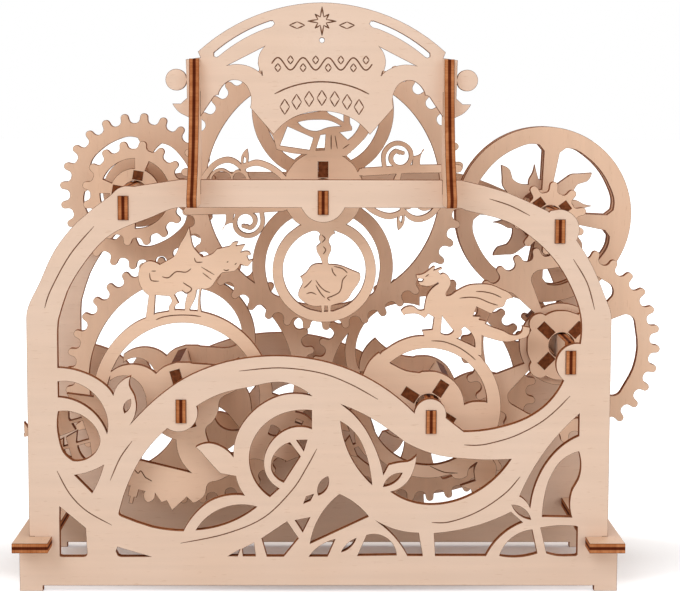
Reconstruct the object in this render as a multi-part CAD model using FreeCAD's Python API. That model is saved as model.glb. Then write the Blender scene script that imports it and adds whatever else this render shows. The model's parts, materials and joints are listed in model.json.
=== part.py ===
"""Wooden theater model kit: flat laser-cut ply plates, six geared axles and three scene wheels."""
import math
import os

import FreeCAD
import Part

os.makedirs("parts", exist_ok=True)

# Sheet and fits, in millimetres
PLY = 3.0
FIT = 0.04
RUN = 0.09
PROUD = 0.6
CHORD = 0.28
ROUND_CHORD = 0.19

# Depth of the two frames and of the side planks
FRAME_GAP = 55.0
BACK_FRAME_Y = PLY + FRAME_GAP
DEPTH = 80.0
OVERHANG = (DEPTH - BACK_FRAME_Y - PLY) / 2

# Front faces of the ply layers between the frames
SCENE_LEFT_Y = 9.0
SCENE_RIGHT_Y = 14.0
SCENE_CENTRE_Y = 19.0
IDLER_HUB_Y = 22.0
IDLER_Y = IDLER_HUB_Y + PLY
CENTRE_GEAR_Y = 38.0
HAND_WHEEL_Y = 43.0
REAR_GEAR_Y = 50.0

# Teeth
MODULE = 2.0
ADDENDUM = 1.5
SMALL_ADDENDUM = 0.9
DEDENDUM = 1.75
TOOTH_THICK = 2.85
PRESSURE = math.radians(25)
LEFT_TEETH = 40
RIGHT_TEETH = 36
CENTRE_TEETH = 44
SMALL_TEETH = 16
UPPER_TEETH = 24
IDLER_TEETH = 30
PINION_TEETH = 10

# Axle tie bars and the distance bars that join the discs of a wheel
AXLE_HIGH = 7.0
AXLE_DROP = 2.4
BORE_R = math.hypot(PLY, AXLE_HIGH) / 2 + RUN
BAR_IN = 4.5
BAR_LONG = 4.7
BAR_SHORT = 2.7
BAR_SHOULDER = 1.3

# Frame sizes
SIDE_X = 88.4
PILLAR_WIDE = 9.3
PILLAR_IN_X = SIDE_X - PILLAR_WIDE
BLOCK_STEP = 3.05
BLOCK_X = SIDE_X + BLOCK_STEP
FOOT_WIDE = 7.05
RAIL_LOW_Z = 1.7
RAIL_TOP_Z = 10.7
PLANK_Z = 14.0
PLANK_WIDE = 10.8
PLANK_STEP = 0.85
PLANK_OUT_X = BLOCK_X + PLANK_STEP
ARCH_FOOT_Z = 84.0
BAR_LOW_Z = 117.5
BAR_TALL = 8.4
BAR_TOP_Z = BAR_LOW_Z + BAR_TALL
MID_X = 0.6
BACK_WINDOW_AREA = 150.0


def centre_distance(teeth_a, teeth_b):
    return MODULE * (teeth_a + teeth_b) / 2


def polar(radius, degrees, centre=(0.0, 0.0)):
    angle = math.radians(degrees)
    return (centre[0] + radius * math.cos(angle), centre[1] + radius * math.sin(angle))


# Axle centres, each placed from the one it meshes with
CENTRE = (1.05, 121.4)
UPPER_BEARING = 181.6
LEFT_BEARING = -74.6
RIGHT_BEARING = -2.4
IDLER_BEARING = 23.4
HAND_BEARING = 95.5
UPPER = polar(centre_distance(SMALL_TEETH, CENTRE_TEETH), UPPER_BEARING, CENTRE)
LEFT = polar(centre_distance(UPPER_TEETH, LEFT_TEETH), LEFT_BEARING, UPPER)
RIGHT = polar(centre_distance(LEFT_TEETH, RIGHT_TEETH), RIGHT_BEARING, LEFT)
IDLER = polar(centre_distance(RIGHT_TEETH, PINION_TEETH), IDLER_BEARING, RIGHT)
HAND = polar(centre_distance(IDLER_TEETH, PINION_TEETH), HAND_BEARING, IDLER)
AXLES = {
    "upper_left": UPPER,
    "centre": CENTRE,
    "hand_wheel": HAND,
    "left_wheel": LEFT,
    "right_wheel": RIGHT,
    "idler": IDLER,
}

# Shift that puts the middle of the whole box over the origin
GEAR_TIP_X = IDLER[0] + MODULE * IDLER_TEETH / 2 + ADDENDUM
TOE_Y = -19.6
PLANK_END_Y = DEPTH - OVERHANG
DATUM = FreeCAD.Vector((PLANK_OUT_X - GEAR_TIP_X) / 2, -(TOE_Y + PLANK_END_Y) / 2, 0)


# Drawing helpers; each one gives ply sheet whose outline lies in the X-Z plane
def vec(point):
    return FreeCAD.Vector(point[0], 0, point[1])


def curve(points):
    """Arc through three points, or a smooth curve through more."""
    if len(points) == 3:
        return Part.Arc(*[vec(p) for p in points]).toShape()
    spline = Part.BSplineCurve()
    spline.interpolate([vec(p) for p in points])
    return spline.toShape()


def side(points):
    """Points along one side: two given points are a line, three an arc, more a smooth curve."""
    if len(points) == 2:
        return list(points)
    inner = curve(points).discretize(Deflection=CHORD)[1:-1]
    return [points[0]] + [(p.x, p.z) for p in inner] + [points[-1]]


def polygon(points):
    """Ply sheet cut straight from point to point, with its front at depth zero."""
    closed = [vec(p) for p in points] + [vec(points[0])]
    return Part.Face(Part.makePolygon(closed)).extrude(FreeCAD.Vector(0, PLY, 0))


def outline(*sides):
    """Ply sheet inside a chain of sides; a straight line joins two sides that don't meet."""
    points = []
    for row in sides:
        run = side(row)
        points += run[1:] if points and run[0] == points[-1] else run
    if points[-1] == points[0]:
        points.pop()
    return polygon(points)


def disc(radius, centre=(0.0, 0.0)):
    count = math.ceil(math.pi / math.acos(1 - ROUND_CHORD / radius))
    return polygon([polar(radius, 360 * k / count, centre) for k in range(count)])


def bore():
    """Round hole for an axle."""
    return Part.makeCylinder(BORE_R, PLY, FreeCAD.Vector(), FreeCAD.Vector(0, 1, 0))


def ring(outer, inner, centre=(0.0, 0.0)):
    return disc(outer, centre).cut(disc(inner, centre))


def box(x0, z0, x1, z1):
    return polygon([(x0, z0), (x1, z0), (x1, z1), (x0, z1)])


def turned(shape, degrees, centre=(0.0, 0.0)):
    copy = shape.copy()
    copy.rotate(vec(centre), FreeCAD.Vector(0, -1, 0), degrees)
    return copy


def moved(shape, point):
    copy = shape.copy()
    copy.translate(vec(point))
    return copy


def mirrored(shape, middle_x=0.0):
    return shape.mirror(FreeCAD.Vector(middle_x, 0, 0), FreeCAD.Vector(1, 0, 0))


def joined(*shapes):
    """One sheet out of several that overlap."""
    solids = [solid for shape in shapes for solid in shape.Solids]
    return solids[0].fuse(solids[1:]).removeSplitter()


def plate(sheet, front_y):
    """The sheet as one solid piece, with its front at the given depth."""
    if len(sheet.Solids) != 1:
        raise ValueError("a plate is one piece, not %d" % len(sheet.Solids))
    solid = sheet.Solids[0].copy()
    solid.translate(FreeCAD.Vector(0, front_y, 0))
    return solid


def upright(sheet, middle_x):
    """Sheet turned to stand across the frames; its outline is drawn in depth and height."""
    solid = plate(sheet, -PLY / 2)
    solid.rotate(FreeCAD.Vector(), FreeCAD.Vector(0, 0, 1), 90)
    solid.translate(FreeCAD.Vector(middle_x, 0, 0))
    return solid


def ribbon(points, wide, steps=8):
    """Band of even width along a smooth curve, with round ends."""
    edge = curve(points)
    left, right = [], []
    for k in range(steps + 1):
        at = edge.FirstParameter + (edge.LastParameter - edge.FirstParameter) * k / steps
        here, along = edge.valueAt(at), edge.tangentAt(at)
        across = FreeCAD.Vector(-along.z, 0, along.x) * wide / 2
        left.append(((here + across).x, (here + across).z))
        right.append(((here - across).x, (here - across).z))
    band = polygon(left + right[::-1])
    return joined(band, disc(wide / 2, points[0]), disc(wide / 2, points[-1]))


def spiral(centre, outer, inner, start, turns, count=14):
    """Points of a spiral that winds inward from the start angle; negative turns run clockwise."""
    row = []
    for k in range(count + 1):
        share = k / count
        radius = outer + (inner - outer) * share
        row.append(polar(radius, start + 360 * turns * share, centre))
    return row


# Gears
def involute(angle):
    return math.tan(angle) - angle


def half_tooth(teeth, radius):
    """Half the angle a tooth covers at the radius."""
    pitch = MODULE * teeth / 2
    base = pitch * math.cos(PRESSURE)
    at = math.acos(base / max(radius, base))
    return TOOTH_THICK / (2 * pitch) + involute(PRESSURE) - involute(at)


def toothed_disc(teeth, phase, addendum=ADDENDUM):
    """Toothed disc with one tooth centred on the phase angle in degrees."""
    pitch = MODULE * teeth / 2
    root, tip = pitch - DEDENDUM, pitch + addendum
    root_half = math.degrees(half_tooth(teeth, root))
    tip_half = math.degrees(half_tooth(teeth, tip))
    tooth = [(root, -root_half), (tip, -tip_half), (tip, tip_half), (root, root_half)]
    points = []
    for k in range(teeth):
        turn = phase + 360 * k / teeth
        points += [polar(radius, turn + angle) for radius, angle in tooth]
    return polygon(points)


def bearing(start, end):
    return math.degrees(math.atan2(end[1] - start[1], end[0] - start[0]))


def meshed_phase(teeth, phase, start, end, other_teeth):
    """Phase of the gear at end so that its gap takes the tooth of the gear at start."""
    towards = bearing(start, end)
    lead = (towards - phase) * teeth / other_teeth
    return towards + 180 + lead + 180 / other_teeth


# Phases: three are free and the rest follow from the mesh
LEFT_PHASE = 5.0
CENTRE_PHASE = 1.5
IDLER_PHASE = 9.3
RIGHT_PHASE = meshed_phase(LEFT_TEETH, LEFT_PHASE, LEFT, RIGHT, RIGHT_TEETH)
UPPER_PHASE = meshed_phase(LEFT_TEETH, LEFT_PHASE, LEFT, UPPER, UPPER_TEETH)
SMALL_PHASE = meshed_phase(CENTRE_TEETH, CENTRE_PHASE, CENTRE, UPPER, SMALL_TEETH)
REAR_PINION_PHASE = meshed_phase(RIGHT_TEETH, RIGHT_PHASE, RIGHT, IDLER, PINION_TEETH)
HAND_PINION_PHASE = meshed_phase(IDLER_TEETH, IDLER_PHASE, IDLER, HAND, PINION_TEETH)

# Angle of the first of the four distance bars on each axle
BAR_ANGLE = {
    "upper_left": 80,
    "centre": 90,
    "hand_wheel": 37,
    "left_wheel": 106,
    "right_wheel": 57,
    "idler": 46,
}


def bar_slots(angle, radial):
    """Four slots for distance bars around the bore."""
    slot = box(BAR_IN - FIT, -PLY / 2 - FIT, BAR_IN + radial + FIT, PLY / 2 + FIT)
    return [turned(slot, angle + 90 * k) for k in range(4)]


def with_hub(sheet, angle, radial, carrier=False):
    """Cut the axle hole and the bar slots of a disc; a carrier bears its wheel on a true round bore."""
    hole = bore() if carrier else disc(BORE_R + ROUND_CHORD)
    return sheet.cut([hole] + bar_slots(angle, radial))


def bar_profile(start, end, front, rear, front_radial, rear_radial):
    """Side outline of one distance bar: radial distance against depth."""
    top = BAR_IN + max(front_radial, rear_radial) + BAR_SHOULDER
    return [
        (BAR_IN, start),
        (BAR_IN + front_radial, start),
        (BAR_IN + front_radial, start + front),
        (top, start + front),
        (top, end - rear),
        (BAR_IN + rear_radial, end - rear),
        (BAR_IN + rear_radial, end),
        (BAR_IN, end),
    ]


def distance_bars(axle, start, end, front, rear, front_radial=BAR_LONG, rear_radial=BAR_LONG):
    """The four ply bars that join the discs on one axle."""
    rows = bar_profile(start, end, front, rear, front_radial, rear_radial)
    bar = polygon(rows)
    bar.rotate(FreeCAD.Vector(), FreeCAD.Vector(1, 0, 0), -90)
    bar.translate(FreeCAD.Vector(0, 0, PLY / 2))
    turned_bars = [turned(bar, BAR_ANGLE[axle] + 90 * k) for k in range(4)]
    return moved(Part.makeCompound(turned_bars), AXLES[axle])


def axle_bar():
    """Flat tie bar seen from the side; its ends sit lower than its middle and hook the frames."""
    low, high = -AXLE_HIGH / 2, AXLE_HIGH / 2
    middle = box(PLY, low, BACK_FRAME_Y, high)
    front = box(-PROUD, low - AXLE_DROP, PLY, high - AXLE_DROP)
    back = box(BACK_FRAME_Y, low - AXLE_DROP, BACK_FRAME_Y + PLY + PROUD, high - AXLE_DROP)
    return upright(joined(middle, front, back), 0)


def axle_slots():
    half = PLY / 2 + FIT
    slots = []
    for x, z in AXLES.values():
        middle = z - AXLE_DROP
        slots.append(box(x - half, middle - AXLE_HIGH / 2 - FIT, x + half, middle + AXLE_HIGH / 2 + FIT))
    return slots


# Frame
ARCH_LEFT_OUT = [
    (-SIDE_X, ARCH_FOOT_Z), (2.3 - SIDE_X, 89.5), (7.1 - SIDE_X, 101.6), (14.6 - SIDE_X, 112.0),
    (-62.6, 121.2),
]
ARCH_RIGHT_OUT = [
    (68.7, 116.6), (SIDE_X - 12.1, 109.7), (SIDE_X - 7.0, 101.9), (SIDE_X - 3.6, 94.7),
    (SIDE_X, ARCH_FOOT_Z),
]


def frame_outline():
    """Outer edge from the left foot over the arch to the right foot."""
    shoulder_z = PLANK_Z + PLY
    foot_in_x = BLOCK_X - FOOT_WIDE
    left_foot = [(-foot_in_x, RAIL_LOW_Z), (-foot_in_x, 0.0), (-BLOCK_X, 0.0), (-BLOCK_X, shoulder_z)]
    right_foot = [(-x, z) for x, z in left_foot[::-1]]
    straight_left = [left_foot[k:k + 2] for k in range(3)] + [[(-SIDE_X, shoulder_z), ARCH_LEFT_OUT[0]]]
    straight_right = [[ARCH_RIGHT_OUT[-1], (SIDE_X, shoulder_z)]] + [right_foot[k:k + 2] for k in range(3)]
    top_left = [ARCH_LEFT_OUT[-1], (-59.9, BAR_TOP_Z - 2.5), (-55.5, BAR_TOP_Z - 2.1)]
    bar_left = [top_left[-1], (-47.7, BAR_TOP_Z - 1.1), (-41.8, BAR_TOP_Z)]
    bar_right = [(42.4, BAR_TOP_Z), (51.7, BAR_TOP_Z - 2.2), (60.2, 120.8), ARCH_RIGHT_OUT[0]]
    return outline(
        *straight_left, ARCH_LEFT_OUT, top_left, bar_left, bar_right, ARCH_RIGHT_OUT, *straight_right,
    )


def arch_opening():
    """Stage opening above the wave screen."""
    band_edge = [(-PILLAR_IN_X, 69.0), (-75.0, 68.6), (-69.0, 66.4), (-64.6, 63.5), (-62.4, 60.6)]
    leaf_left = [(-62.4, 60.6), (-60.3, 64.5), (-57.0, 66.4)]
    leaf_right = [(-57.0, 66.4), (-57.6, 63.9), (-55.4, 58.6), (-56.0, 55.2), (-57.4, 51.5)]
    first_wave = [
        (-57.4, 51.5), (-50.4, 58.7), (-39.3, 66.6), (-27.1, 71.0), (-14.9, 72.6),
        (0.7, 71.1), (13.1, 66.7), (23.7, 59.5), (28.9, 55.2),
    ]
    peg_boss = [(28.9, 55.2), (33.4, 59.5), (38.5, 53.7)]
    second_wave = [
        (38.5, 53.7), (39.8, 50.6), (48.2, 49.8), (58.6, 51.7), (69.0, 57.7), (74.2, 65.2),
    ]
    side_boss = [(74.2, 65.2), (71.8, 70.3), (75.2, 75.8)]
    pillar = [(PILLAR_IN_X, 76.5), (PILLAR_IN_X, ARCH_FOOT_Z + 1.0)]
    right_arc = [
        pillar[-1], (76.9, 91.7), (71.5, 101.2), (61.6, 110.4), (54.4, 114.3), (45.2, 116.5),
        (42.0, BAR_LOW_Z),
    ]
    left_arc = [
        (-41.6, BAR_LOW_Z), (-45.8, 116.7), (-50.3, 114.7), (-56.5, 111.4), (-62.1, 109.5), (-68.0, 104.2),
        (-73.3, 97.0), (-77.6, 88.0), (-PILLAR_IN_X, 78.6),
    ]
    return outline(
        band_edge, leaf_left, leaf_right, first_wave, peg_boss, second_wave, side_boss,
        [side_boss[-1], pillar[0]], pillar, right_arc, [right_arc[-1], left_arc[0]], left_arc,
    )


def left_windows():
    """Openings of the screen left of the large spiral."""
    return [
        outline(
            [(-79.1, 64.7), (-73.3, 64.2), (-66.1, 58.2), (-64.4, 48.8)],
            [(-64.4, 48.8), (-69.1, 55.9), (-79.2, 60.0)],
        ),
        outline(
            [(-79.2, 55.6), (-73.4, 55.0), (-67.7, 50.3), (-66.5, 46.8)],
            [(-66.5, 46.8), (-68.3, 42.7), (-75.1, 40.5), (-78.8, 46.0), (-79.2, 49.9)],
        ),
        outline(
            [(-74.4, 36.0), (-69.7, 37.1), (-65.5, 39.1)],
            [(-65.5, 39.1), (-66.8, 35.2), (-69.1, 30.5)],
            [(-69.1, 30.5), (-74.4, 36.0)],
        ),
        outline(
            [(-79.0, 26.2), (-71.2, 19.6)],
            [(-71.2, 19.6), (-70.8, 11.9)],
            [(-70.8, 11.9), (-71.2, 10.9), (-72.1, 10.7)],
            [(-72.1, 10.7), (-78.2, 10.7)],
            [(-78.2, 10.7), (-79.1, 10.9), (-79.4, 11.9)],
        ),
        outline(
            [(-50.5, 10.5), (-60.2, 10.7)],
            [(-60.2, 10.7), (-62.0, 12.2), (-61.5, 13.7)],
            [(-61.5, 13.7), (-55.9, 12.0), (-50.5, 10.5)],
        ),
        outline(
            [(-37.5, 19.0), (-33.9, 23.2), (-27.8, 26.3), (-19.0, 26.2)],
            [(-19.0, 26.2), (-27.8, 21.1), (-37.5, 19.0)],
        ),
        outline(
            [(-59.0, 55.1), (-58.8, 58.2), (-57.2, 59.3)],
            [(-57.2, 59.3), (-57.5, 56.7), (-59.0, 55.1)],
        ),
        outline(
            [(-4.7, 27.3), (-4.0, 29.3), (-1.7, 30.1)],
            [(-1.7, 30.1), (-2.8, 28.0), (-4.7, 27.3)],
        ),
        outline(
            [(-0.2, 29.8), (0.0, 33.3), (2.7, 35.6)],
            [(2.7, 35.6), (2.6, 32.4), (-0.2, 29.8)],
        ),
    ]


def large_left_window():
    """Opening left of the spiral, with a leaf reaching into it."""
    return outline(
        [(-46.1, 50.4), (-54.5, 40.6), (-60.2, 27.5), (-60.9, 25.0)],
        [(-60.9, 25.0), (-61.0, 23.8), (-60.2, 23.2)],
        [(-60.2, 23.2), (-51.5, 20.0), (-41.4, 18.7)],
        [(-41.4, 18.7), (-38.5, 23.2), (-34.0, 27.5), (-28.7, 29.6), (-22.8, 29.8)],
        [(-22.8, 29.8), (-24.5, 32.7), (-25.4, 35.7)],
        [(-25.4, 35.7), (-30.5, 36.8), (-33.6, 40.2), (-37.6, 44.6)],
        [(-37.6, 44.6), (-33.9, 45.9), (-30.4, 45.1), (-26.1, 41.7)],
        [(-26.1, 41.7), (-25.1, 48.3), (-18.8, 56.8), (-10.7, 60.8), (-2.3, 60.4)],
        [(-2.3, 60.4), (-5.2, 63.4), (-14.9, 63.8), (-24.3, 62.5), (-34.4, 59.0), (-37.2, 57.2)],
        [(-37.2, 57.2), (-39.7, 50.2), (-46.1, 50.4)],
    )


def spiral_windows():
    """Openings inside the large spiral."""
    return [
        outline(
            [(-2.3, 56.0), (-6.8, 56.0), (-16.1, 52.1), (-21.2, 42.7), (-19.5, 34.2), (-15.0, 29.3)],
            [(-15.0, 29.3), (-12.2, 31.9)],
            [(-12.2, 31.9), (-16.8, 40.8), (-13.3, 47.7), (-2.3, 50.3)],
        ),
        outline(
            [(-8.9, 46.1), (-12.8, 43.6), (-14.6, 39.5), (-10.8, 33.8)],
            [(-10.8, 33.8), (-5.7, 41.8)],
            [(-5.7, 41.8), (-8.9, 46.1)],
        ),
        outline([(-6.9, 46.8), (-3.7, 46.9)], [(-3.7, 46.9), (-4.7, 43.5)], [(-4.7, 43.5), (-6.9, 46.8)]),
        outline(
            [(6.5, 52.6), (10.3, 49.7), (14.8, 40.6), (16.1, 33.1)],
            [(16.1, 33.1), (8.9, 43.2), (6.5, 52.6)],
        ),
    ]


def large_right_window():
    """Opening under the second wave, with the right leaf reaching into it."""
    return outline(
        [(6.5, 57.9), (10.5, 57.5), (19.8, 50.9), (30.7, 43.9), (44.4, 41.1), (58.5, 41.0)],
        [(58.5, 41.0), (55.1, 36.5), (44.7, 29.1), (33.1, 26.9), (21.9, 30.9)],
        [(21.9, 30.9), (26.5, 33.5), (28.6, 37.0), (29.7, 42.2)],
        [(29.7, 42.2), (25.2, 40.0), (21.8, 39.5), (19.6, 36.2)],
        [(19.6, 36.2), (17.8, 42.5), (13.2, 51.5), (6.5, 57.9)],
    )


def right_windows():
    """Openings between the right rings and the pillar."""
    return [
        outline([(19.6, 32.5), (21.3, 35.3), (25.3, 36.7)], [(25.3, 36.7), (23.1, 33.8), (19.6, 32.5)]),
        outline(
            [(79.4, 55.3), (73.3, 49.4), (67.6, 40.8), (61.2, 29.5)],
            [(61.2, 29.5), (63.0, 28.2), (64.5, 25.9)],
            [(64.5, 25.9), (66.9, 35.4), (72.2, 43.4), (79.5, 48.4)],
        ),
        outline(
            [(79.6, 43.6), (73.9, 40.6), (69.8, 33.4), (68.2, 23.2)],
            [(68.2, 23.2), (77.3, 23.0)],
            [(77.3, 23.0), (76.8, 29.3), (79.5, 35.4)],
        ),
        outline(
            [(55.3, 11.0), (59.4, 16.9), (65.2, 19.1)],
            [(65.2, 19.1), (66.8, 11.8)],
            [(66.8, 11.8), (64.0, 11.0)],
        ),
        outline(
            [(67.8, 19.7), (72.9, 20.4), (78.1, 20.3)],
            [(78.1, 20.3), (79.2, 19.9), (79.4, 19.1)],
            [(79.4, 19.1), (79.5, 12.5)],
            [(79.5, 12.5), (79.2, 11.4), (78.5, 11.0)],
            [(78.5, 11.0), (73.0, 11.0)],
            [(73.0, 11.0), (69.7, 11.8)],
        ),
        outline([(58.9, 26.8), (62.6, 25.6), (64.7, 22.3)], [(64.7, 22.3), (61.1, 23.8), (58.9, 26.8)]),
    ]


def low_windows():
    """Openings along the bottom rail, between the rings and the post."""
    return [
        outline(
            [(6.2, 30.1), (11.0, 27.3), (15.1, 23.2)],
            [(15.1, 23.2), (8.3, 19.7), (-2.7, 14.8)],
            [(-2.7, 14.8), (0.9, 24.3), (6.2, 30.1)],
        ),
        polygon([(-7.3, 22.0), (-2.8, 22.9), (-5.0, 18.4)]),
        polygon([(-17.5, 16.4), (-9.8, 21.6), (-6.3, 16.4), (-10.8, 10.8), (-15.9, 10.8)]),
        polygon([(-27.8, 10.9), (-24.1, 13.0), (-24.9, 10.9)]),
        polygon([(-23.5, 13.1), (-19.9, 15.0), (-19.4, 10.9), (-23.2, 10.9)]),
        outline([(-3.0, 10.8), (0.3, 14.1), (4.9, 16.1)], [(4.9, 16.1), (2.6, 10.8)]),
        outline(
            [(17.2, 22.0), (23.2, 19.2), (30.4, 18.1)],
            [(30.4, 18.1), (31.7, 11.0)],
            [(31.7, 11.0), (27.1, 11.0)],
            [(27.1, 11.0), (22.8, 17.2), (17.2, 22.0)],
        ),
        outline(
            [(11.8, 11.0), (14.6, 17.4)],
            [(14.6, 17.4), (20.0, 16.9), (23.7, 11.2)],
        ),
        outline(
            [(35.2, 18.0), (46.2, 19.8), (58.6, 24.6)],
            [(58.6, 24.6), (62.2, 21.4)],
            [(62.2, 21.4), (55.4, 17.0), (51.1, 11.0)],
            [(51.1, 11.0), (35.6, 11.0)],
        ),
        outline([(6.9, 12.2), (8.6, 14.7), (11.3, 16.4)], [(11.3, 16.4), (9.7, 13.8), (6.9, 12.2)]),
    ]


def frame_sheet(smallest):
    """Frame with every opening of its screen that is larger than the given area."""
    boss = disc(7.1, (CENTRE[0], CENTRE[1] - 1.2))
    screen = [large_left_window(), large_right_window()]
    screen += left_windows() + spiral_windows() + right_windows() + low_windows()
    openings = [arch_opening().cut(boss)] + [window for window in screen if window.Volume / PLY > smallest]
    inside = box(-PILLAR_IN_X, RAIL_TOP_Z, PILLAR_IN_X, BAR_LOW_Z)
    cuts = [opening.common(inside) for opening in openings]
    hand_boss = disc(6.3, (HAND[0] - 0.4, HAND[1] - AXLE_DROP + 0.4))
    return joined(frame_outline(), hand_boss).cut(cuts + axle_slots() + plank_notches())


def plank_notches():
    """Side notches of a frame that take the base planks."""
    reach = PLANK_OUT_X - PLANK_WIDE / 2
    left = box(-BLOCK_X - 1, PLANK_Z - FIT, -reach + FIT, PLANK_Z + PLY + FIT)
    return [left, mirrored(left)]


BRACKET_X = 37.8
BRACKET_LOW = BAR_LOW_Z + 0.9
BRACKET_TALL = 43.4
BRACKET_TOP = BRACKET_LOW + BRACKET_TALL
BRACKET_SLOT_Z = (BAR_LOW_Z + BAR_TOP_Z) / 2
SIGN_SLOT_DEEP = 9.8
SIGN_SLOT_Z = BRACKET_TOP - SIGN_SLOT_DEEP
SIGN_RISE = 16.7


def bracket_slot(low, high):
    """Opening for the left bracket in a plate that it crosses."""
    middle = MID_X - BRACKET_X
    return box(middle - PLY / 2 - FIT, low, middle + PLY / 2 + FIT, high)


def front_frame():
    notch = bracket_slot(BRACKET_SLOT_Z, BAR_TOP_Z + 1)
    return plate(frame_sheet(0).cut([notch, mirrored(notch, MID_X)]), 0)


def back_frame():
    return plate(frame_sheet(BACK_WINDOW_AREA), BACK_FRAME_Y)


def base_plank():
    """Left plank, lying flat, with a slot for each frame."""
    inner = -PLANK_OUT_X + PLANK_WIDE
    plank = Part.makeBox(PLANK_WIDE, DEPTH, PLY, FreeCAD.Vector(-PLANK_OUT_X, -OVERHANG, PLANK_Z))
    middle = -PLANK_OUT_X + PLANK_WIDE / 2
    slots = []
    for front in (0, BACK_FRAME_Y):
        corner = FreeCAD.Vector(middle, front - FIT, PLANK_Z - 1)
        slots.append(Part.makeBox(inner - middle + 1, PLY + 2 * FIT, PLY + 2, corner))
    return plank.cut(slots)


# Sign and its brackets
def bracket():
    """Left upright plate that stands across the top bar."""
    front = [
        (-3.6, BRACKET_TOP), (-5.5, BRACKET_TOP - 13.8), (-11.0, BRACKET_LOW + 14.6),
        (-18.5, BRACKET_LOW + 4.1),
    ]
    body = outline(
        front,
        [front[-1], (TOE_Y, BRACKET_LOW + 1.2), (-17.6, BRACKET_LOW)],
        [(-17.6, BRACKET_LOW), (8.0, BRACKET_LOW)],
        [(8.0, BRACKET_LOW), (6.6, BRACKET_TOP)],
    )
    low_slot = box(-FIT, BRACKET_LOW - 1, PLY + FIT, BRACKET_SLOT_Z)
    top_slot = box(-FIT, SIGN_SLOT_Z, PLY + FIT, BRACKET_TOP + 1)
    return upright(body.cut([low_slot, top_slot]), MID_X - BRACKET_X)


def sign_half():
    """Left half of the sign, drawn about its middle line and the level of the bracket tops."""
    arc = [(0.0, SIGN_RISE), (-19.5, SIGN_RISE - 3.8), (-36.9, 2.1)]
    ball = disc(3.2, (-43.4, -6.2))
    body = outline(
        arc,
        [arc[-1], (-36.2, 0.4)],
        [(-36.2, 0.4), (-40.5, -0.2)],
        [(-40.5, -0.2), (-40.2, -11.6)],
        [(-40.2, -11.6), (-41.2, -12.8), (-44.6, -13.3)],
        [(-44.6, -13.3), (-41.5, -16.6), (-36.6, -17.6)],
        [(-36.6, -17.6), (-32.4, -11.4)],
        [(-32.4, -11.4), (-30.4, -9.4), (-30.4, -9.2)],
        [(-30.4, -9.2), (-27.4, -6.4)],
        [(-27.4, -6.4), (-23.5, -7.0), (-21.6, -9.6)],
        [(-21.6, -9.6), (-21.4, -14.4)],
        [(-21.4, -14.4), (-17.0, -19.4), (-14.4, -22.4)],
        [(-14.4, -22.4), (-11.5, -19.2), (-5.6, -16.4), (0.0, -15.4)],
    )
    return joined(body, ball)


def sign_openings():
    slot_centre = (0.0, SIGN_RISE - 52.3)
    slot = ribbon([polar(48.5, a, slot_centre) for a in (108, 114, 120, 126, 130.5)], 1.7)
    corner = outline(
        [(-28.4, -2.0), (-22.0, 1.2), (-17.0, 3.8)],
        [(-17.0, 3.8), (-19.0, -0.2), (-17.6, -4.8)],
        [(-17.6, -4.8), (-22.6, -1.9), (-28.4, -2.0)],
    )
    return [slot, corner]


def theater_sign():
    half = sign_half()
    whole = joined(half, mirrored(half))
    holes = []
    for hole in sign_openings():
        holes += [hole, mirrored(hole)]
    notch = bracket_slot(BRACKET_LOW, SIGN_SLOT_Z)
    sheet = moved(whole.cut(holes), (MID_X, BRACKET_TOP)).cut([notch, mirrored(notch, MID_X)])
    return plate(sheet, 0)


# How deep a figure of a scenery wheel reaches into its ring
FIGURE_SINK = 0.4

# Left wheel: ring, whale tail and four scenes in front, large gear behind
LEFT_RING_OUT = 27.7
LEFT_RING_IN = 23.6
LEFT_HUB_R = 11.5


def whale_tail():
    """Tail that fills the ring from the hub up to two flukes and down to the rim."""
    return outline(
        [(-22.3, 8.3), (-14.5, 10.7), (-8.0, 7.7)],
        [(-8.0, 7.7), (-0.4, 11.5), (10.3, 10.5), (17.0, 12.7)],
        [(17.0, 12.7), (18.8, 8.4), (12.9, 1.1)],
        [(12.9, 1.1), (7.0, -9.4), (7.8, -13.4), (16.9, -16.6)],
        [(16.9, -16.6), (11.9, -23.2), (3.3, -23.9)],
        [(3.3, -23.9), (-1.3, -17.8), (-2.2, -12.8)],
        [(-2.2, -12.8), (-7.1, -10.3), (-11.4, -5.0)],
        [(-11.4, -5.0), (-11.6, 1.8), (-15.4, 6.5), (-22.4, 5.5)],
    )


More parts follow.
